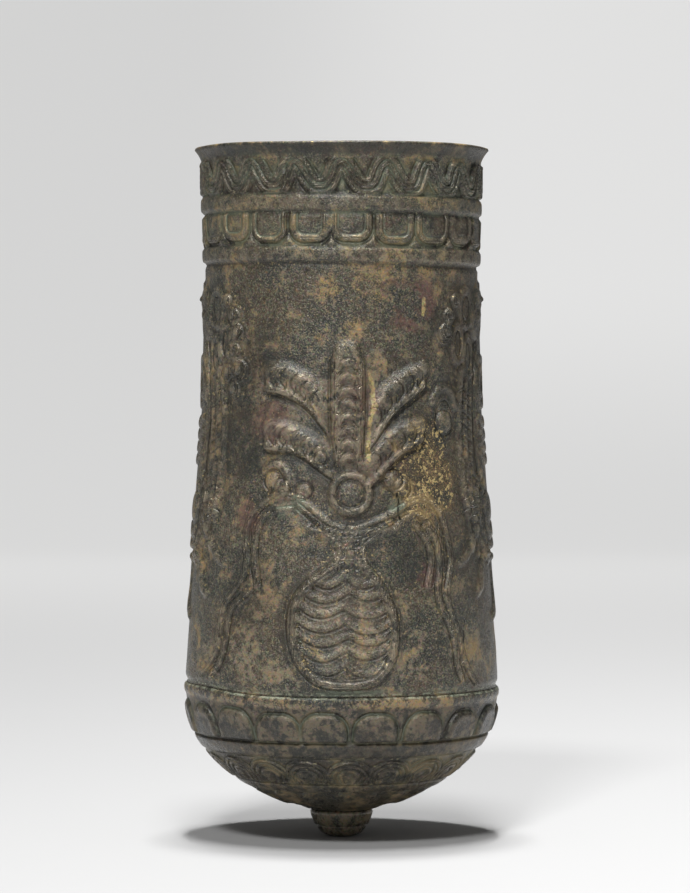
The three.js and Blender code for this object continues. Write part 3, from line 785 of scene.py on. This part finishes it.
def draw_locks(area, curl_count):
    for angle, along, wide, tall in locks:
        lock = ring_line(angle, along, wide, tall)
        area.pad(lock, 0.25, 0.8)
        area.ridge(lock, 0.75, 0.45, closed=True)
        area.chase(ring_line(angle, along, 0.55 * wide, 0.65 * tall), 3, closed=True)
    area.ridge([(angle, along) for angle, along, _ in curls[:5]], 2.6, 0.3)
    for angle, along, radius in curls[:curl_count]:
        area.knob(angle, along, 1.5 * radius, 0.85)
        area.chase(ring_line(angle, along, 2.5 * radius, 1.2 * radius), 3, closed=True)
        area.chase(ring_line(angle + 0.5, along, 1.2 * radius, 0.55 * radius)[2:11], 3)


# %% [markdown]
# The foreleg, the ribs, the haunch, the hooves and the tail are ridges, and short chased strokes stand for
# hair.


# %% Limbs, ribs and hair
def draw_limbs(area):
    # Chest, foreleg and its hair
    area.ridge([(60, 95), (57.4, 88), (56.4, 80), (56.8, 72), (59.5, 66)], 0.9, 0.6)
    area.ridge([(64, 92.5), (62, 86), (61.4, 78), (62, 70.5), (64, 65)], 0.9, 0.55)
    area.ridge([(70, 94), (67.5, 84), (67, 74), (69, 65)], 0.8, 0.4)
    for k in range(11):
        along = 91.5 - 2.4 * k
        area.chase([(57.4, along - 0.6), (59.4, along), (61.4, along - 0.6)], 2)
        area.chase([(63.4, along - 1.6), (65.2, along - 1.0), (67.0, along - 1.6)], 2)
    # Haunch with nested lines
    turns = np.linspace(math.radians(120), math.radians(330), 9)
    for reach in (9.0, 6.6, 4.2):
        arc = np.column_stack([84 + 2.0 * reach * np.cos(turns), 66 + 1.05 * reach * np.sin(turns)])
        area.ridge(arc, 0.85, 0.45)
    area.knob(85, 67, 3.2, 0.5)
    # Shoulder and ribs
    for reach in (5.0, 2.8):
        area.ridge(ring_line(81, 92.5, 1.7 * reach, reach), 0.8, 0.4, closed=True)
    for k in range(4):
        along = 85.5 - 2.5 * k
        area.ridge([(75.5, along), (83, along - 1.8), (92, along - 0.4)], 0.8, 0.45)
    # Long hair on the flank
    for k in range(4):
        area.ridge([(57 + 4.2 * k, 77 - k), (59 + 4.6 * k, 68 - k), (62 + 5.2 * k, 59 - k)], 0.65, 0.4)
    # Legs, hooves and tail
    area.ridge([(79, 59), (72.5, 57.6), (68.5, 55.2), (67, 51.8), (62.5, 50.4)], 1.2, 0.6)
    area.ridge([(90, 57), (92, 52), (88, 47), (82, 45.4)], 1.2, 0.6)
    area.ridge([(66.5, 64), (61, 60.2), (55.5, 57.4), (51, 56.6)], 1.0, 0.5)
    area.ridge([(98, 70), (106, 76), (111, 72), (109.5, 64), (104, 60), (106.5, 54)], 0.9, 0.45)


for mirror, curl_count in ((1, 3), (-1, len(curls))):
    area = skin.turned(0.0, mirror)
    draw_body(area)
    draw_locks(area, curl_count)
    draw_limbs(area)
print("with beasts:", round(skin.height.min(), 2), "to", round(skin.height.max(), 2), "mm")

# %% [markdown]
# Now the hammer. What stands above the blank is pushed out from the inside, and what lies below it is
# chased in. Each is a vertex group with weights from 0 to 1, and a Displace modifier moves the skin along
# its normals by weight times strength. Old sheet is also never quite even, so a slow wave of a tenth of a
# millimetre and faint dents are added to the relief. The joint and the lip are then bent a little up or
# down.


# %% Push out and chase in
def push(piece, group_name, spots, weights, strength, direction="NORMAL"):
    group = piece.vertex_groups.new(name=group_name)
    for spot, weight in zip(spots, weights):
        if weight > 0.0:
            group.add([int(spot)], float(weight), "REPLACE")
    bpy.ops.object.select_all(action="DESELECT")
    piece.select_set(True)
    bpy.context.view_layer.objects.active = piece
    made = piece.modifiers.new(group_name, "DISPLACE")
    made.vertex_group = group_name
    made.direction = direction
    made.mid_level = 0.0
    made.strength = strength
    bpy.ops.object.modifier_apply(modifier=made.name)


def beat(piece, spots, height):
    highest, deepest = height.max(), -height.min()
    push(piece, "raised", spots, np.clip(height / highest, 0, 1), highest * mm)
    push(piece, "chased", spots, np.clip(-height / deepest, 0, 1), -deepest * mm)
    print(piece.name, "raised by up to", round(highest, 2), "mm and chased by up to", round(deepest, 2), "mm")


def keep_value(piece, name, spots, values):
    """A value for every vertex, which the patina reads. It is 0 off the skin."""
    layer = piece.data.attributes.new(name, "FLOAT", "POINT")
    flat = np.zeros(len(piece.data.vertices), np.float32)
    flat[spots] = values
    layer.data.foreach_set("value", flat)


def joint_lift(angle):
    """How far the joint between the sheets rises from its level, most on the left of the front."""
    return 0.35 + 0.12 * wander(angle, angle * 0 + 3.0, 70.0, 6) + 1.0 * ease(np.abs(angle + 75.0), 50.0, 8.0)


def all_of(piece):
    return range(len(piece.data.vertices))


wall_spots = np.nonzero(wall_skin)[0]
relief = skin.height.copy()
skin.height -= 0.55 * ease(skin.along, ledge + 1.7, ledge)
skin.height += 0.09 * wander(skin.angle, skin.along, 26.0, 2) + 0.035 * wander(skin.angle, skin.along, 7.0, 4)
beat(wall, wall_spots, skin.height)
rising = ease(np.abs(wall_z - ledge), 7.0, 0.5) * joint_lift(wall_angle) * (wall_r > 30.3)
push(wall, "lifted", all_of(wall), rising / rising.max(), rising.max() * mm, "Z")
lip_dip = 0.5 + 0.5 * wander(wall_angle, wall_z * 0 + 5.0, 30.0, 9)
lip_dip *= ease(wall_z, 136.5, lip_top)
push(wall, "hammered_lip", all_of(wall), np.clip(lip_dip, 0, 1), -0.25 * mm, "Z")

# %% [markdown]
# Earth stays in the hollows of a relief, and hands wear its crests bright; the patina lightens the crests
# further as a painted highlight. A place is a hollow or a crest by how far it lies under or over the mean of
# the places round it. These values and the distances to the chased lines are kept on the mesh, so that the
# patina can read them.


# %% Hollows and crests of the relief
def spread(values, angle, along, reach):
    """Mean of the values round each place, by bins of the drawing."""
    columns = np.floor((angle + 180.0) * 0.5 / reach).astype(int)
    rows = np.floor(along / reach).astype(int)
    rows -= rows.min()
    wide, tall = columns.max() + 1, rows.max() + 1
    key = rows * wide + columns
    total = np.bincount(key, values, wide * tall).reshape(tall, wide)
    count = np.bincount(key, minlength=wide * tall).reshape(tall, wide)
    for axis in (0, 1):
        total = total + np.roll(total, 1, axis) + np.roll(total, -1, axis)
        count = count + np.roll(count, 1, axis) + np.roll(count, -1, axis)
    return (total / np.maximum(count, 1)).ravel()[key]


def keep_relief(piece, spots, area, relief):
    full_step = 0.45
    around = spread(relief, area.angle, area.along, 1.3)
    keep_value(piece, "hollow", spots, np.clip((around - relief) / full_step, 0, 1))
    keep_value(piece, "crest", spots, np.clip((relief - around) / full_step, 0, 1))
    keep_value(piece, "line", spots, far_off - area.line)
    keep_value(piece, "side", spots, area.side)


keep_relief(wall, wall_spots, skin, relief)
print("hollows, crests and chased lines kept for the patina")

# %% [markdown]
# The sheet has a few faults. Two cracks beside and above the leaves are filled with ochre, and two slits
# and a pinhole are black. They are drawn as lines, and only the patina shows them.

# %% Cracks and slits
crack = Skin(skin.angle, skin.along, skin.radius)
crack.chase([(11.5, 94), (13.2, 91), (12.6, 89.5), (13.3, 88), (11.4, 84.5), (11.3, 82.5), (10.4, 80),
             (10.7, 77)], 2)
crack.chase([(36.0, 108.8), (36.4, 107.4), (36.0, 105.9)], 2)
slit = Skin(skin.angle, skin.along, skin.radius)
slit.chase([(50.5, 43.5), (51.0, 42.2), (50.8, 40.5)], 2)
slit.chase([(22.0, 70.6), (22.9, 69.0), (22.3, 67.2), (23.2, 65.4)], 2)
slit.chase(ring_line(52.0, 45.3, 0.5, 0.25), 1, closed=True)
for name, fault in (("crack", crack), ("slit", slit)):
    keep_value(wall, name, wall_spots, far_off - fault.line)
    print(name, "passes", int((fault.line < 0.3).sum()), "places")

# %% [markdown]
# Stains are placed one by one. Ochre sits in a cluster right of the leaves and as dust on the upper field.
# Red copper ore shows through top right, on the palm and on the streams. The palm and the lower wall are tan,
# the joint and the crevices of the bands are green, with a pale painted highlight along the joint, and
# painted shade darkens the field beside the beasts, on the flanks and on the right leaves.

# %% Stains on the wall
ochre_stain = skin.stain([
    (37, 80, 9, 1.35), (40, 74, 9, 1.35), (33, 70, 9, 1.15), (45, 70, 6, 1.1), (29, 75, 9, 1.05),
    (-10, 41, 3, 1.0), (-13, 37, 3, 1.0), (3, 108, 13, 0.35), (-35, 108, 9, 0.3), (150, 70, 12, 0.8),
    (-120, 95, 12, 0.6),
])
in_bands = ease(skin.along, 116.5, 119.5) * (1 - 0.9 * panel)
ochre_stain = np.maximum(ochre_stain, 0.45 * in_bands)
red_stain = skin.stain([
    (31, 108, 8, 0.9), (21.5, 110, 4, 0.8), (-20, 84, 15, 0.36), (3, 61, 8, 0.55), (34, 55, 4, 1.2),
    (-38, 66, 6, 0.4), (3, 86, 14, 0.34), (-18, 70, 9, 0.3), (8, 72, 7, 0.26), (20, 78, 8, 0.2),
    (170, 100, 12, 0.7), (-150, 60, 10, 0.6),
])
tan_stain = skin.stain([
    (-45, 37, 15, 0.6), (-20, 34, 8, 0.6), (25, 38, 12, 0.6), (52, 40, 12, 0.5), (14, 46, 8, 0.7),
    (-6, 85, 19, 1.1), (-15, 74, 11, 0.9), (5, 46, 12, 0.5), (-56, 98, 8, 1.0), (3, 60, 7, 1.2),
    (2, 88, 12, 1.6), (120, 40, 15, 0.8), (-120, 42, 15, 0.8), (180, 38, 15, 0.8),
])
wall_green_and_highlight = skin.stain([(-23, 67, 2.5, 0.8), (-17, 68.5, 2.5, 0.8), (22, 68, 2.5, 0.7)])
# Near the joint the value runs over 1, where the patina lays a pale painted highlight on the green.
wall_green_and_highlight = np.maximum(wall_green_and_highlight, 1.1 * ease(skin.along, 32.5, ledge))
wall_green_and_highlight = np.maximum(wall_green_and_highlight, 0.35 * ease(skin.along, 116.0, 119.0))
# Painted shade: darker patches on the flanks, beside the beasts and on the right leaves.
painted_shade = skin.stain([
    (57, 92, 9, 0.5), (-58, 80, 14, 0.4), (-36, 50, 10, 0.45), (-36, 98, 8, 0.5), (-41, 78, 7, 0.55),
    (-42, 86, 6, 0.5), (-16, 50, 7, 0.3), (27, 58, 7, 0.35), (48, 104, 9, 0.3), (-43, 93, 6, 0.4),
    (68, 60, 18, 0.3), (76, 100, 22, 0.35), (74, 75, 18, 0.3), (22, 88, 13, 0.2), (24, 77, 10, 0.2),
])
for name, values in (("ochre", ochre_stain), ("red", red_stain), ("tan", tan_stain), ("green", wall_green_and_highlight)):
    keep_value(wall, name, wall_spots, values)
    print(name, "stain on", int((values > 0.1).sum()), "places")
lip_bare = ease(wall_z, 139.2, 139.75) * (wall_r > 29.2)
keep_value(wall, "bare", all_of(wall), lip_bare)
# The lip's flare is darkened under its bare edge: painted shadow.
dark = 0.75 * ease(wall_z, 136.9, 137.6) * ease(wall_z, 139.75, 139.4)
dark[wall_spots] += np.maximum(0.07 * panel, painted_shade)
keep_value(wall, "dark", all_of(wall), dark)

# %% [markdown]
# The base is the second sheet, a bowl with a plain hem that laps round the wall's foot. It is turned like
# the wall, with the hem drawn as a few points and the rest taken from the bowl's curve.

# %% Bowl blank
bowl_rows = np.linspace(0.15, bowl_run[-1] - 0.05, 122)
bowl_side = bowl_inside(bowl_rows, 0.0)
bowl_floor = bowl_inside(np.array([0.2, 4.0, 9.0, 15.0, 21.0, 27.0, bowl_run[-1] - 0.3]), sheet)
bowl_section = [
    (hem_radius - sheet, hem_top - 0.1),
    *bowl_floor,
    (5.7, seat + sheet),
    (2.05, seat + sheet),
    (2.05, seat),
    (seat_radius, seat),
    (7.4, 5.9),
    *bowl_side[::-1],
    (31.74, hem_foot + 0.3),
    (31.95, hem_foot + 0.65),
    (32.03, hem_foot + 1.1),
    (32.03, hem_foot + 1.6),
    (31.93, hem_foot + 2.0),
    (31.7, hem_top - 0.06),
    (31.3, hem_top),
]
bowl = turn_section("base_bowl_sheet", bowl_section, 250, 170)
bowl_angle, bowl_r, bowl_z = places_of(bowl)
drop = np.interp(-bowl_z, -bowl_curve[:, 1], bowl_run)
curve_r = np.interp(-bowl_z, -bowl_curve[:, 1], bowl_curve[:, 0])
bowl_skin = (np.abs(bowl_r - curve_r) < 0.15) & (bowl_z < hem_foot + 0.01) & (bowl_z > 6.62)
under = Skin(bowl_angle[bowl_skin], drop[bowl_skin], bowl_r[bowl_skin])
print("places on the bowl's skin:", int(bowl_skin.sum()))

# %% [markdown]
# The bowl's bands are drawn by distance down its curve: round-topped tongues, a plain fillet, arches of
# three ribs round a small knob, a plain ring, and a rosette of petals round the nipple. As on the wall, one
# unit of a row is drawn and the angle is folded.

# %% Tongues, fillet and ring of the bowl
level = under.along + 0.2 * wander(under.angle, under.along * 0 + 2.0, 50.0, 7)
lobe_count = 19
unit, off = folded(under.angle, lobe_count, -5.5, 2.0)
half_width = 4.75 + 0.2 * np.sin(unit * 5.7)
corner = 3.6
top_gap = 0.85 + 0.2 * np.sin(unit * 2.9) + corner - level
edge = rounded_edge(np.abs(off * under.degree) - (half_width - corner), top_gap, corner)
in_band = ease(level, 0.1, 0.5) * ease(level, 6.7, 6.3)
lobe = 0.55 * ease(edge, 0.2, -1.1) - 0.15 * ease(edge, -1.2, -2.4) - 0.25 * crown((edge - 0.2) / 0.45)
under.height += in_band * lobe
# The tongues' rims get green above 0.7, where the patina lays a pale painted highlight.
rim_green_and_highlight = 0.95 * in_band * crown((edge + 0.3) / 0.5)
whole = np.arange(len(level))
under.cut(whole, np.where(in_band > 0.5, edge - 0.1, far_off))
for ring_middle, ring_half, ring_rise in ((8.7, 1.75, 0.4), (20.6, 1.6, 0.4)):
    under.height += ring_rise * crown((level - ring_middle) / ring_half) ** 0.5
    for end in (-1, 1):
        under.height -= 0.22 * crown((level - ring_middle - end * (ring_half + 0.2)) / 0.5)
        under.cut(whole, level - ring_middle - end * (ring_half + 0.1))
print("tongues, fillet and ring:", round(under.height.min(), 2), "to", round(under.height.max(), 2), "mm")

# %% [markdown]
# Each arch is three ribs round a knob. A petal is widest near its middle and narrow at both ends. Then the
# bowl is beaten like the wall, and its hem rises with the joint.

# %% Arches and petals of the bowl
arch_count = 19
arch_foot = 15.7
_, off = folded(under.angle, arch_count, 3.5, 6.0)
across = off * under.degree
reach = np.hypot(across, np.minimum(level - arch_foot, 0.0)) + 0.35 * np.maximum(level - arch_foot, 0.0)
in_band = ease(level, 10.7, 11.2) * ease(level, 18.7, 18.2)
arch = 0.45 * crown(np.hypot(across + 0.5, level - 15.6))
for rib in (1.7, 2.9, 4.1):
    arch += 0.4 * crown((reach - rib) / 0.6) ** 0.7
    under.cut(whole, np.where(in_band > 0.5, reach - rib - 0.6, far_off))
under.height += in_band * arch

petal_count = 16
petal_top = 23.0
_, off = folded(under.angle, petal_count, 0.0, 1.0)
petal_share = np.clip((level - petal_top) / (bowl_run[-1] - 0.9 - petal_top), 0, 1)
petal_taper = np.sin(np.pi * np.clip(petal_share, 0.02, 1) ** 0.75 * 0.9)
petal_half = math.pi / petal_count * under.radius * 0.82 * petal_taper
in_petal = np.clip(1 - (np.abs(off * under.degree) / np.maximum(petal_half, 0.05)) ** 2, 0, 1)
under.height += 0.45 * in_petal * (level > petal_top) * ease(petal_share, 1.0, 0.7)

bowl_spots = np.nonzero(bowl_skin)[0]
bowl_relief = under.height.copy()
under.height += 0.06 * wander(under.angle, under.along, 20.0, 3)
under.height += 0.03 * wander(under.angle, under.along, 6.0, 8)
beat(bowl, bowl_spots, under.height)
keep_relief(bowl, bowl_spots, under, bowl_relief)
rising = ease(np.abs(bowl_z - hem_top), 9.0, 0.5) * joint_lift(bowl_angle) * (bowl_r > 30.3)
push(bowl, "lifted", all_of(bowl), rising / rising.max(), rising.max() * mm, "Z")

# %% [markdown]
# Below the hem the base is darkened, more on its upper part than lower down: painted shade. It is tan below
# the hem and green along the joint, in its grooves and round its tongues; the green on the hem's top edge and
# on the tongues' rims goes over into a pale painted highlight.

# %% Stains on the base
# Painted shade: the base is darkened, more above the fillet than lower down.
painted_shade_by_height = 0.8 - 0.45 * ease(bowl_z, 20.0, 17.0)
# The hem's top edge gets green over 1, which the patina turns into a pale painted highlight.
hem_edge_green_and_highlight = 1.2 * ease(bowl_z, hem_top - 0.7, hem_top - 0.25)
groove_green = 0.3 * (bowl_z < hem_foot - 0.3)
hem_tan = ease(bowl_z, hem_foot - 8.0, hem_foot) * ease(bowl_z, hem_top, hem_foot)
base_green_and_highlight = np.maximum(hem_edge_green_and_highlight, groove_green)
base_green_and_highlight[bowl_spots] = np.maximum(base_green_and_highlight[bowl_spots], rim_green_and_highlight)
base_painted_shade = painted_shade_by_height * (bowl_z < hem_foot)
for name, values in (("green", base_green_and_highlight), ("tan", 0.8 * hem_tan), ("dark", base_painted_shade)):
    keep_value(bowl, name, all_of(bowl), values)
    print(name, "on the base:", int((values > 0.1).sum()), "places")

# %% [markdown]
# The nipple is a collar and a domed stud. The stud's shank passes the bowl and a small washer, the rove,
# and is clenched over it inside. All three are turned like the sheets.

# %% Collar, stud and rove
collar_section = [(2.05, 2.45), (5.35, 2.45), (5.55, 2.55), (5.95, 3.6), (6.35, 4.7), (6.4, 5.05),
                  (6.25, 5.35), (5.95, 5.52), (5.6, 5.55), (2.05, 5.55)]
collar = turn_section("nipple_collar_ring", collar_section, 48, 48)
dome = [(1.6 + 3.4 * math.sin(t), 2.4 - 2.4 * math.cos(t)) for t in np.linspace(0.0, math.pi / 2, 12)]
head = [(3.1 * math.cos(t), 7.6 + math.sin(t)) for t in np.linspace(0.0, math.pi / 2, 8)[:-1]]
stud_section = [(0.02, 0.0), *dome, (4.85, 2.4), (1.9, 2.4), (1.9, 7.6), *head, (0.02, 8.6)]
stud = turn_section("nipple_stud_dome", stud_section, 48, 48)
rove_section = [(2.05, 6.65), (4.5, 6.65), (4.6, 6.75), (4.6, 7.4), (4.45, 7.55), (2.05, 7.55)]
rove = turn_section("rove_washer", rove_section, 40, 40)

# %% [markdown]
# The patina. Bronze that lay in the ground is dark brown to slate, with reddish and ochre patches, earth in
# the hollows, green along the joint and a little worn metal on the crests. The crests are also lightened as a
# painted highlight, the green edges of the joint and the base's tongues carry a pale painted highlight, and
# painted shade darkens some places. One node group makes it from noise of several sizes and from what was
# kept on the mesh, and every piece uses it with its own values.

# %% Patina group
patina = bpy.data.node_groups.new("bronze_patina", "ShaderNodeTree")
for name in ("Tan", "Green", "Ochre", "Mottle"):
    patina.interface.new_socket(name=name, in_out="INPUT", socket_type="NodeSocketFloat")
patina.interface.new_socket(name="Color", in_out="OUTPUT", socket_type="NodeSocketColor")
for name in ("Roughness", "Metal", "Height"):
    patina.interface.new_socket(name=name, in_out="OUTPUT", socket_type="NodeSocketFloat")
given = patina.nodes.new("NodeGroupInput").outputs
taken = patina.nodes.new("NodeGroupOutput").inputs
spot = add_node(patina, "ShaderNodeTexCoord").outputs["Object"]


def kept(name):
    """A value that was kept on the mesh."""
    return add_node(patina, "ShaderNodeAttribute", attribute_name=name).outputs["Fac"]


def plus(first, second):
    return math_node(patina, "ADD", first, second)


def less(first, second, clamp=False):
    return math_node(patina, "SUBTRACT", first, second, clamp)


def times(first, second):
    return math_node(patina, "MULTIPLY", first, second)


def larger(first, second):
    return math_node(patina, "MAXIMUM", first, second)


def rise(value, low, high):
    return remap(patina, value, low, high)


def coat(under, over, share):
    """One colour laid over another."""
    return blend(patina, share, under, over)


def patches(noise, amount, low, high):
    """Patches with ragged edges, which grow with the amount of the stain there."""
    return rise(plus(noise, times(amount, 0.12)), low, high)


def grain(size_mm, detail, rough=0.5, warp=0.0):
    """Noise with grains of a size in millimetres, as a value and as a colour."""
    inputs = {"Vector": spot, "Scale": 1.0 / (size_mm * mm), "Detail": detail}
    inputs.update({"Roughness": rough, "Distortion": warp})
    return add_node(patina, "ShaderNodeTexNoise", inputs).outputs


# %% [markdown]
# Clouds and drifts are noise of about a centimetre, for stains that spread. Crust, grit and crumbs are
# noise of a millimetre and less, for what grew on the metal. The colours are those of the metal and of what
# lies on it.

# %% Noise and colours of the patina
clouds = grain(12.0, 6.0, 0.6, 0.5)["Fac"]
drifts = grain(7.0, 8.0, 0.66, 0.6)["Fac"]
crust = grain(1.5, 6.0, 0.68, 0.2)["Fac"]
other_grit = grain(0.7, 4.0, 0.66, 0.3)["Fac"]
crumb = grain(0.6, 2.0)["Fac"]
grit = grain(0.3, 2.0, 0.6)["Fac"]
tint = grain(0.5, 3.0)["Color"]
slate = (0.036, 0.037, 0.032, 1.0)
brown = (0.078, 0.058, 0.038, 1.0)
olive = (0.185, 0.168, 0.118, 1.0)
tan = (0.28, 0.215, 0.145, 1.0)
black = (0.016, 0.016, 0.013, 1.0)
ochre = (0.31, 0.215, 0.09, 1.0)
orange = (0.40, 0.24, 0.09, 1.0)
maroon = (0.150, 0.082, 0.066, 1.0)
verdigris = (0.150, 0.185, 0.130, 1.0)
pale = (0.34, 0.37, 0.27, 1.0)
worn_and_highlight = (0.35, 0.30, 0.22, 1.0)
gold = (0.50, 0.38, 0.17, 1.0)
print("patina: noise and colours,", len(patina.nodes), "nodes")

# %% [markdown]
# The ground is slate and brown, with tan and red patches. Light grit lies on it, olive or ochre, then
# orange flakes and the gold of the cracks. Black gaps, a faint change of tint and a dark mottle break it
# up.

# %% Ground and grit
tan_here = plus(kept("tan"), given["Tan"])
ochre_here = plus(kept("ochre"), given["Ochre"])
red_here = kept("red")
dark_and_shade_here = kept("dark")
ragged = plus(drifts, times(crust, 0.5))
tan_share = patches(ragged, tan_here, 0.80, 0.93)
ochre_share = patches(drifts, ochre_here, 0.53, 0.68)
red_share = times(patches(clouds, red_here, 0.52, 0.62), rise(red_here, 0.05, 0.45))
calm = less(1.0, dark_and_shade_here, clamp=True)
grit_share = times(rise(plus(grit, times(drifts, 0.45)), 0.65, 0.85), calm)
ground = coat(slate, brown, rise(clouds, 0.42, 0.60))
ground = coat(ground, tan, times(tan_share, 0.85))
ground = coat(ground, maroon, times(red_share, 0.8))
light = coat(olive, ochre, ochre_share)
light = coat(light, maroon, times(red_share, 0.7))
colour = coat(ground, light, grit_share)
flakes = times(rise(crust, 0.60, 0.68), plus(0.28, ochre_share))
colour = coat(colour, orange, flakes)
filled = rise(less(kept("crack"), times(crust, 2.0)), 1.45, 1.7)
colour = coat(colour, gold, filled)
cluster = rise(ochre_here, 0.8, 1.3)
gaps = rise(less(other_grit, times(cluster, 0.06)), 0.46, 0.34)
colour = coat(colour, black, times(gaps, 0.6))
colour = blend(patina, 0.45, colour, tint, "OVERLAY")
mottle = times(rise(crust, 0.49, 0.44), given["Mottle"])
colour = coat(colour, black, mottle)
print("patina: ground and grit,", len(patina.nodes), "nodes")

# %% [markdown]
# Then come the marks of the relief: dark earth in hollows and chased lines, ochre and green beside them,
# worn metal on crests, made lighter as a painted highlight, crumbs of gold or pale green, a pale painted
# highlight where the green is strongest, bare metal on the lip's edge, painted shade, and the black of the
# slits.

# %% Earth, green, crests and crumbs
green_and_highlight_here = plus(kept("green"), given["Green"])
near_line = rise(kept("line"), 2.1, 2.4)
gap = math_node(patina, "ABSOLUTE", kept("side"))
cut = times(rise(gap, 0.32, 0.06), near_line)
earth = larger(times(kept("hollow"), 0.7), times(cut, 0.8))
colour = coat(colour, black, times(earth, 0.6))
beside = times(times(rise(gap, 0.8, 0.4), near_line), rise(ochre_here, 0.2, 0.7))
colour = coat(colour, ochre, times(beside, times(rise(drifts, 0.46, 0.60), 0.6)))
green_share = times(plus(earth, 0.12), patches(drifts, green_and_highlight_here, 0.48, 0.60))
colour = coat(colour, verdigris, times(green_share, rise(green_and_highlight_here, 0.05, 0.5)))
# Worn metal on the crests, made lighter than wear alone as a painted highlight.
crest_wear_and_highlight = times(kept("crest"), rise(crust, 0.42, 0.62))
colour = coat(colour, worn_and_highlight, times(crest_wear_and_highlight, 0.68))
more_crumbs = plus(plus(0.25, times(earth, 0.6)), cluster)
clumps = times(cluster, rise(crust, 0.44, 0.58))
crumbs = times(rise(plus(crumb, times(clumps, 0.14)), 0.63, 0.70), more_crumbs)
crumb_colour = coat(gold, pale, rise(green_and_highlight_here, 0.1, 0.5))
colour = coat(colour, crumb_colour, crumbs)
# A pale painted highlight where the green value is highest, on the joint's edge and the rims of the base's
# tongues, laid with pale green crust.
pale_highlight_share = times(rise(green_and_highlight_here, 0.7, 1.1), rise(crust, 0.46, 0.58))
colour = coat(colour, pale, times(pale_highlight_share, 0.7))
bare_share = times(kept("bare"), rise(crust, 0.56, 0.64))
colour = coat(colour, gold, bare_share)
# Painted shade: the lip's flare, the base, the flanks and some patches are darkened towards black, with the
# tongues' dark panels.
colour = coat(colour, black, times(dark_and_shade_here, 0.6))
torn = rise(plus(kept("slit"), times(crust, 0.4)), 2.92, 3.08)
colour = coat(colour, black, torn)
patina.links.new(colour, taken["Color"])
print("patina: colour done,", len(patina.nodes), "nodes")

# %% [markdown]
# The surface is waxed, so it shines where it is clean and is dull where ochre and earth lie. Crests and
# bare places are more metallic. The height of the crust and the cut of the chased lines go to a bump.

# %% Shine and height
rough = plus(0.17, times(other_grit, 0.2))
rough = plus(rough, times(larger(ochre_share, earth), 0.2))
rough = less(rough, times(plus(crest_wear_and_highlight, cut), 0.06), clamp=True)
patina.links.new(rough, taken["Roughness"])
metal = plus(0.1, times(larger(crest_wear_and_highlight, bare_share), 0.5))
patina.links.new(metal, taken["Metal"])
tall = plus(times(crust, 0.22), times(drifts, 0.3))
tall = plus(tall, times(grit, 0.12))
tall = less(tall, times(times(rise(gap, 0.45, 0.0), near_line), 0.25))
tall = less(tall, times(torn, 0.4))
patina.links.new(tall, taken["Height"])
print("patina group:", len(patina.nodes), "nodes")

# %% [markdown]
# Each slot gets its own bronze from the group. The wall is the darkest, the base is warmer and more
# mottled, and the nipple is worn smooth and tan, its lighter colour partly painted light for the shade it
# lies in.


# %% Bronze materials
def bronze(name, shine, crusted, amounts):
    made, tree, shader = new_material(name)
    aged = tree.nodes.new("ShaderNodeGroup")
    aged.node_tree = patina
    for socket, value in amounts.items():
        aged.inputs[socket].default_value = value
    shader.inputs["Specular IOR Level"].default_value = shine
    bump_inputs = {"Height": aged.outputs["Height"], "Strength": crusted, "Distance": mm}
    bump = add_node(tree, "ShaderNodeBump", bump_inputs)
    tree.links.new(aged.outputs["Color"], shader.inputs["Base Color"])
    tree.links.new(aged.outputs["Roughness"], shader.inputs["Roughness"])
    tree.links.new(aged.outputs["Metal"], shader.inputs["Metallic"])
    tree.links.new(bump.outputs["Normal"], shader.inputs["Normal"])
    return made


wall_bronze = bronze("wall_bronze", 0.5, 1.0, {"Ochre": 0.1, "Tan": 0.1, "Mottle": 0.35})
base_bronze = bronze("base_bronze", 0.55, 1.0, {"Tan": 0.35, "Ochre": 0.7, "Mottle": 0.7})
# The nipple's tan is raised partly as painted light, since it sits in shade under the vessel.
nipple_bronze = bronze("nipple_bronze", 0.6, 0.2, {"Tan": 1.1, "Green": 0.5})
print("bronzes:", wall_bronze.name, base_bronze.name, nipple_bronze.name)

# %% [markdown]
# Last, every piece is tied to the fixed frame: it rides on the vessel's one body, stands for its CAD node
# and takes that node's material slot.

# %% Tie the pieces to the frame
for piece, node, slot, finish in (
    (wall, "wall", "wall_bronze", wall_bronze),
    (bowl, "base_bowl", "base_bronze", base_bronze),
    (collar, "nipple_collar", "nipple_bronze", nipple_bronze),
    (stud, "nipple_stud", "nipple_bronze", nipple_bronze),
    (rove, "rove", "nipple_bronze", nipple_bronze),
):
    piece.data.materials.clear()
    piece.data.materials.append(finish)
    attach(piece, "root")
    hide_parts(node)
    triangles = sum(len(face.vertices) - 2 for face in piece.data.polygons)
    print(piece.name, "has", triangles, "triangles")
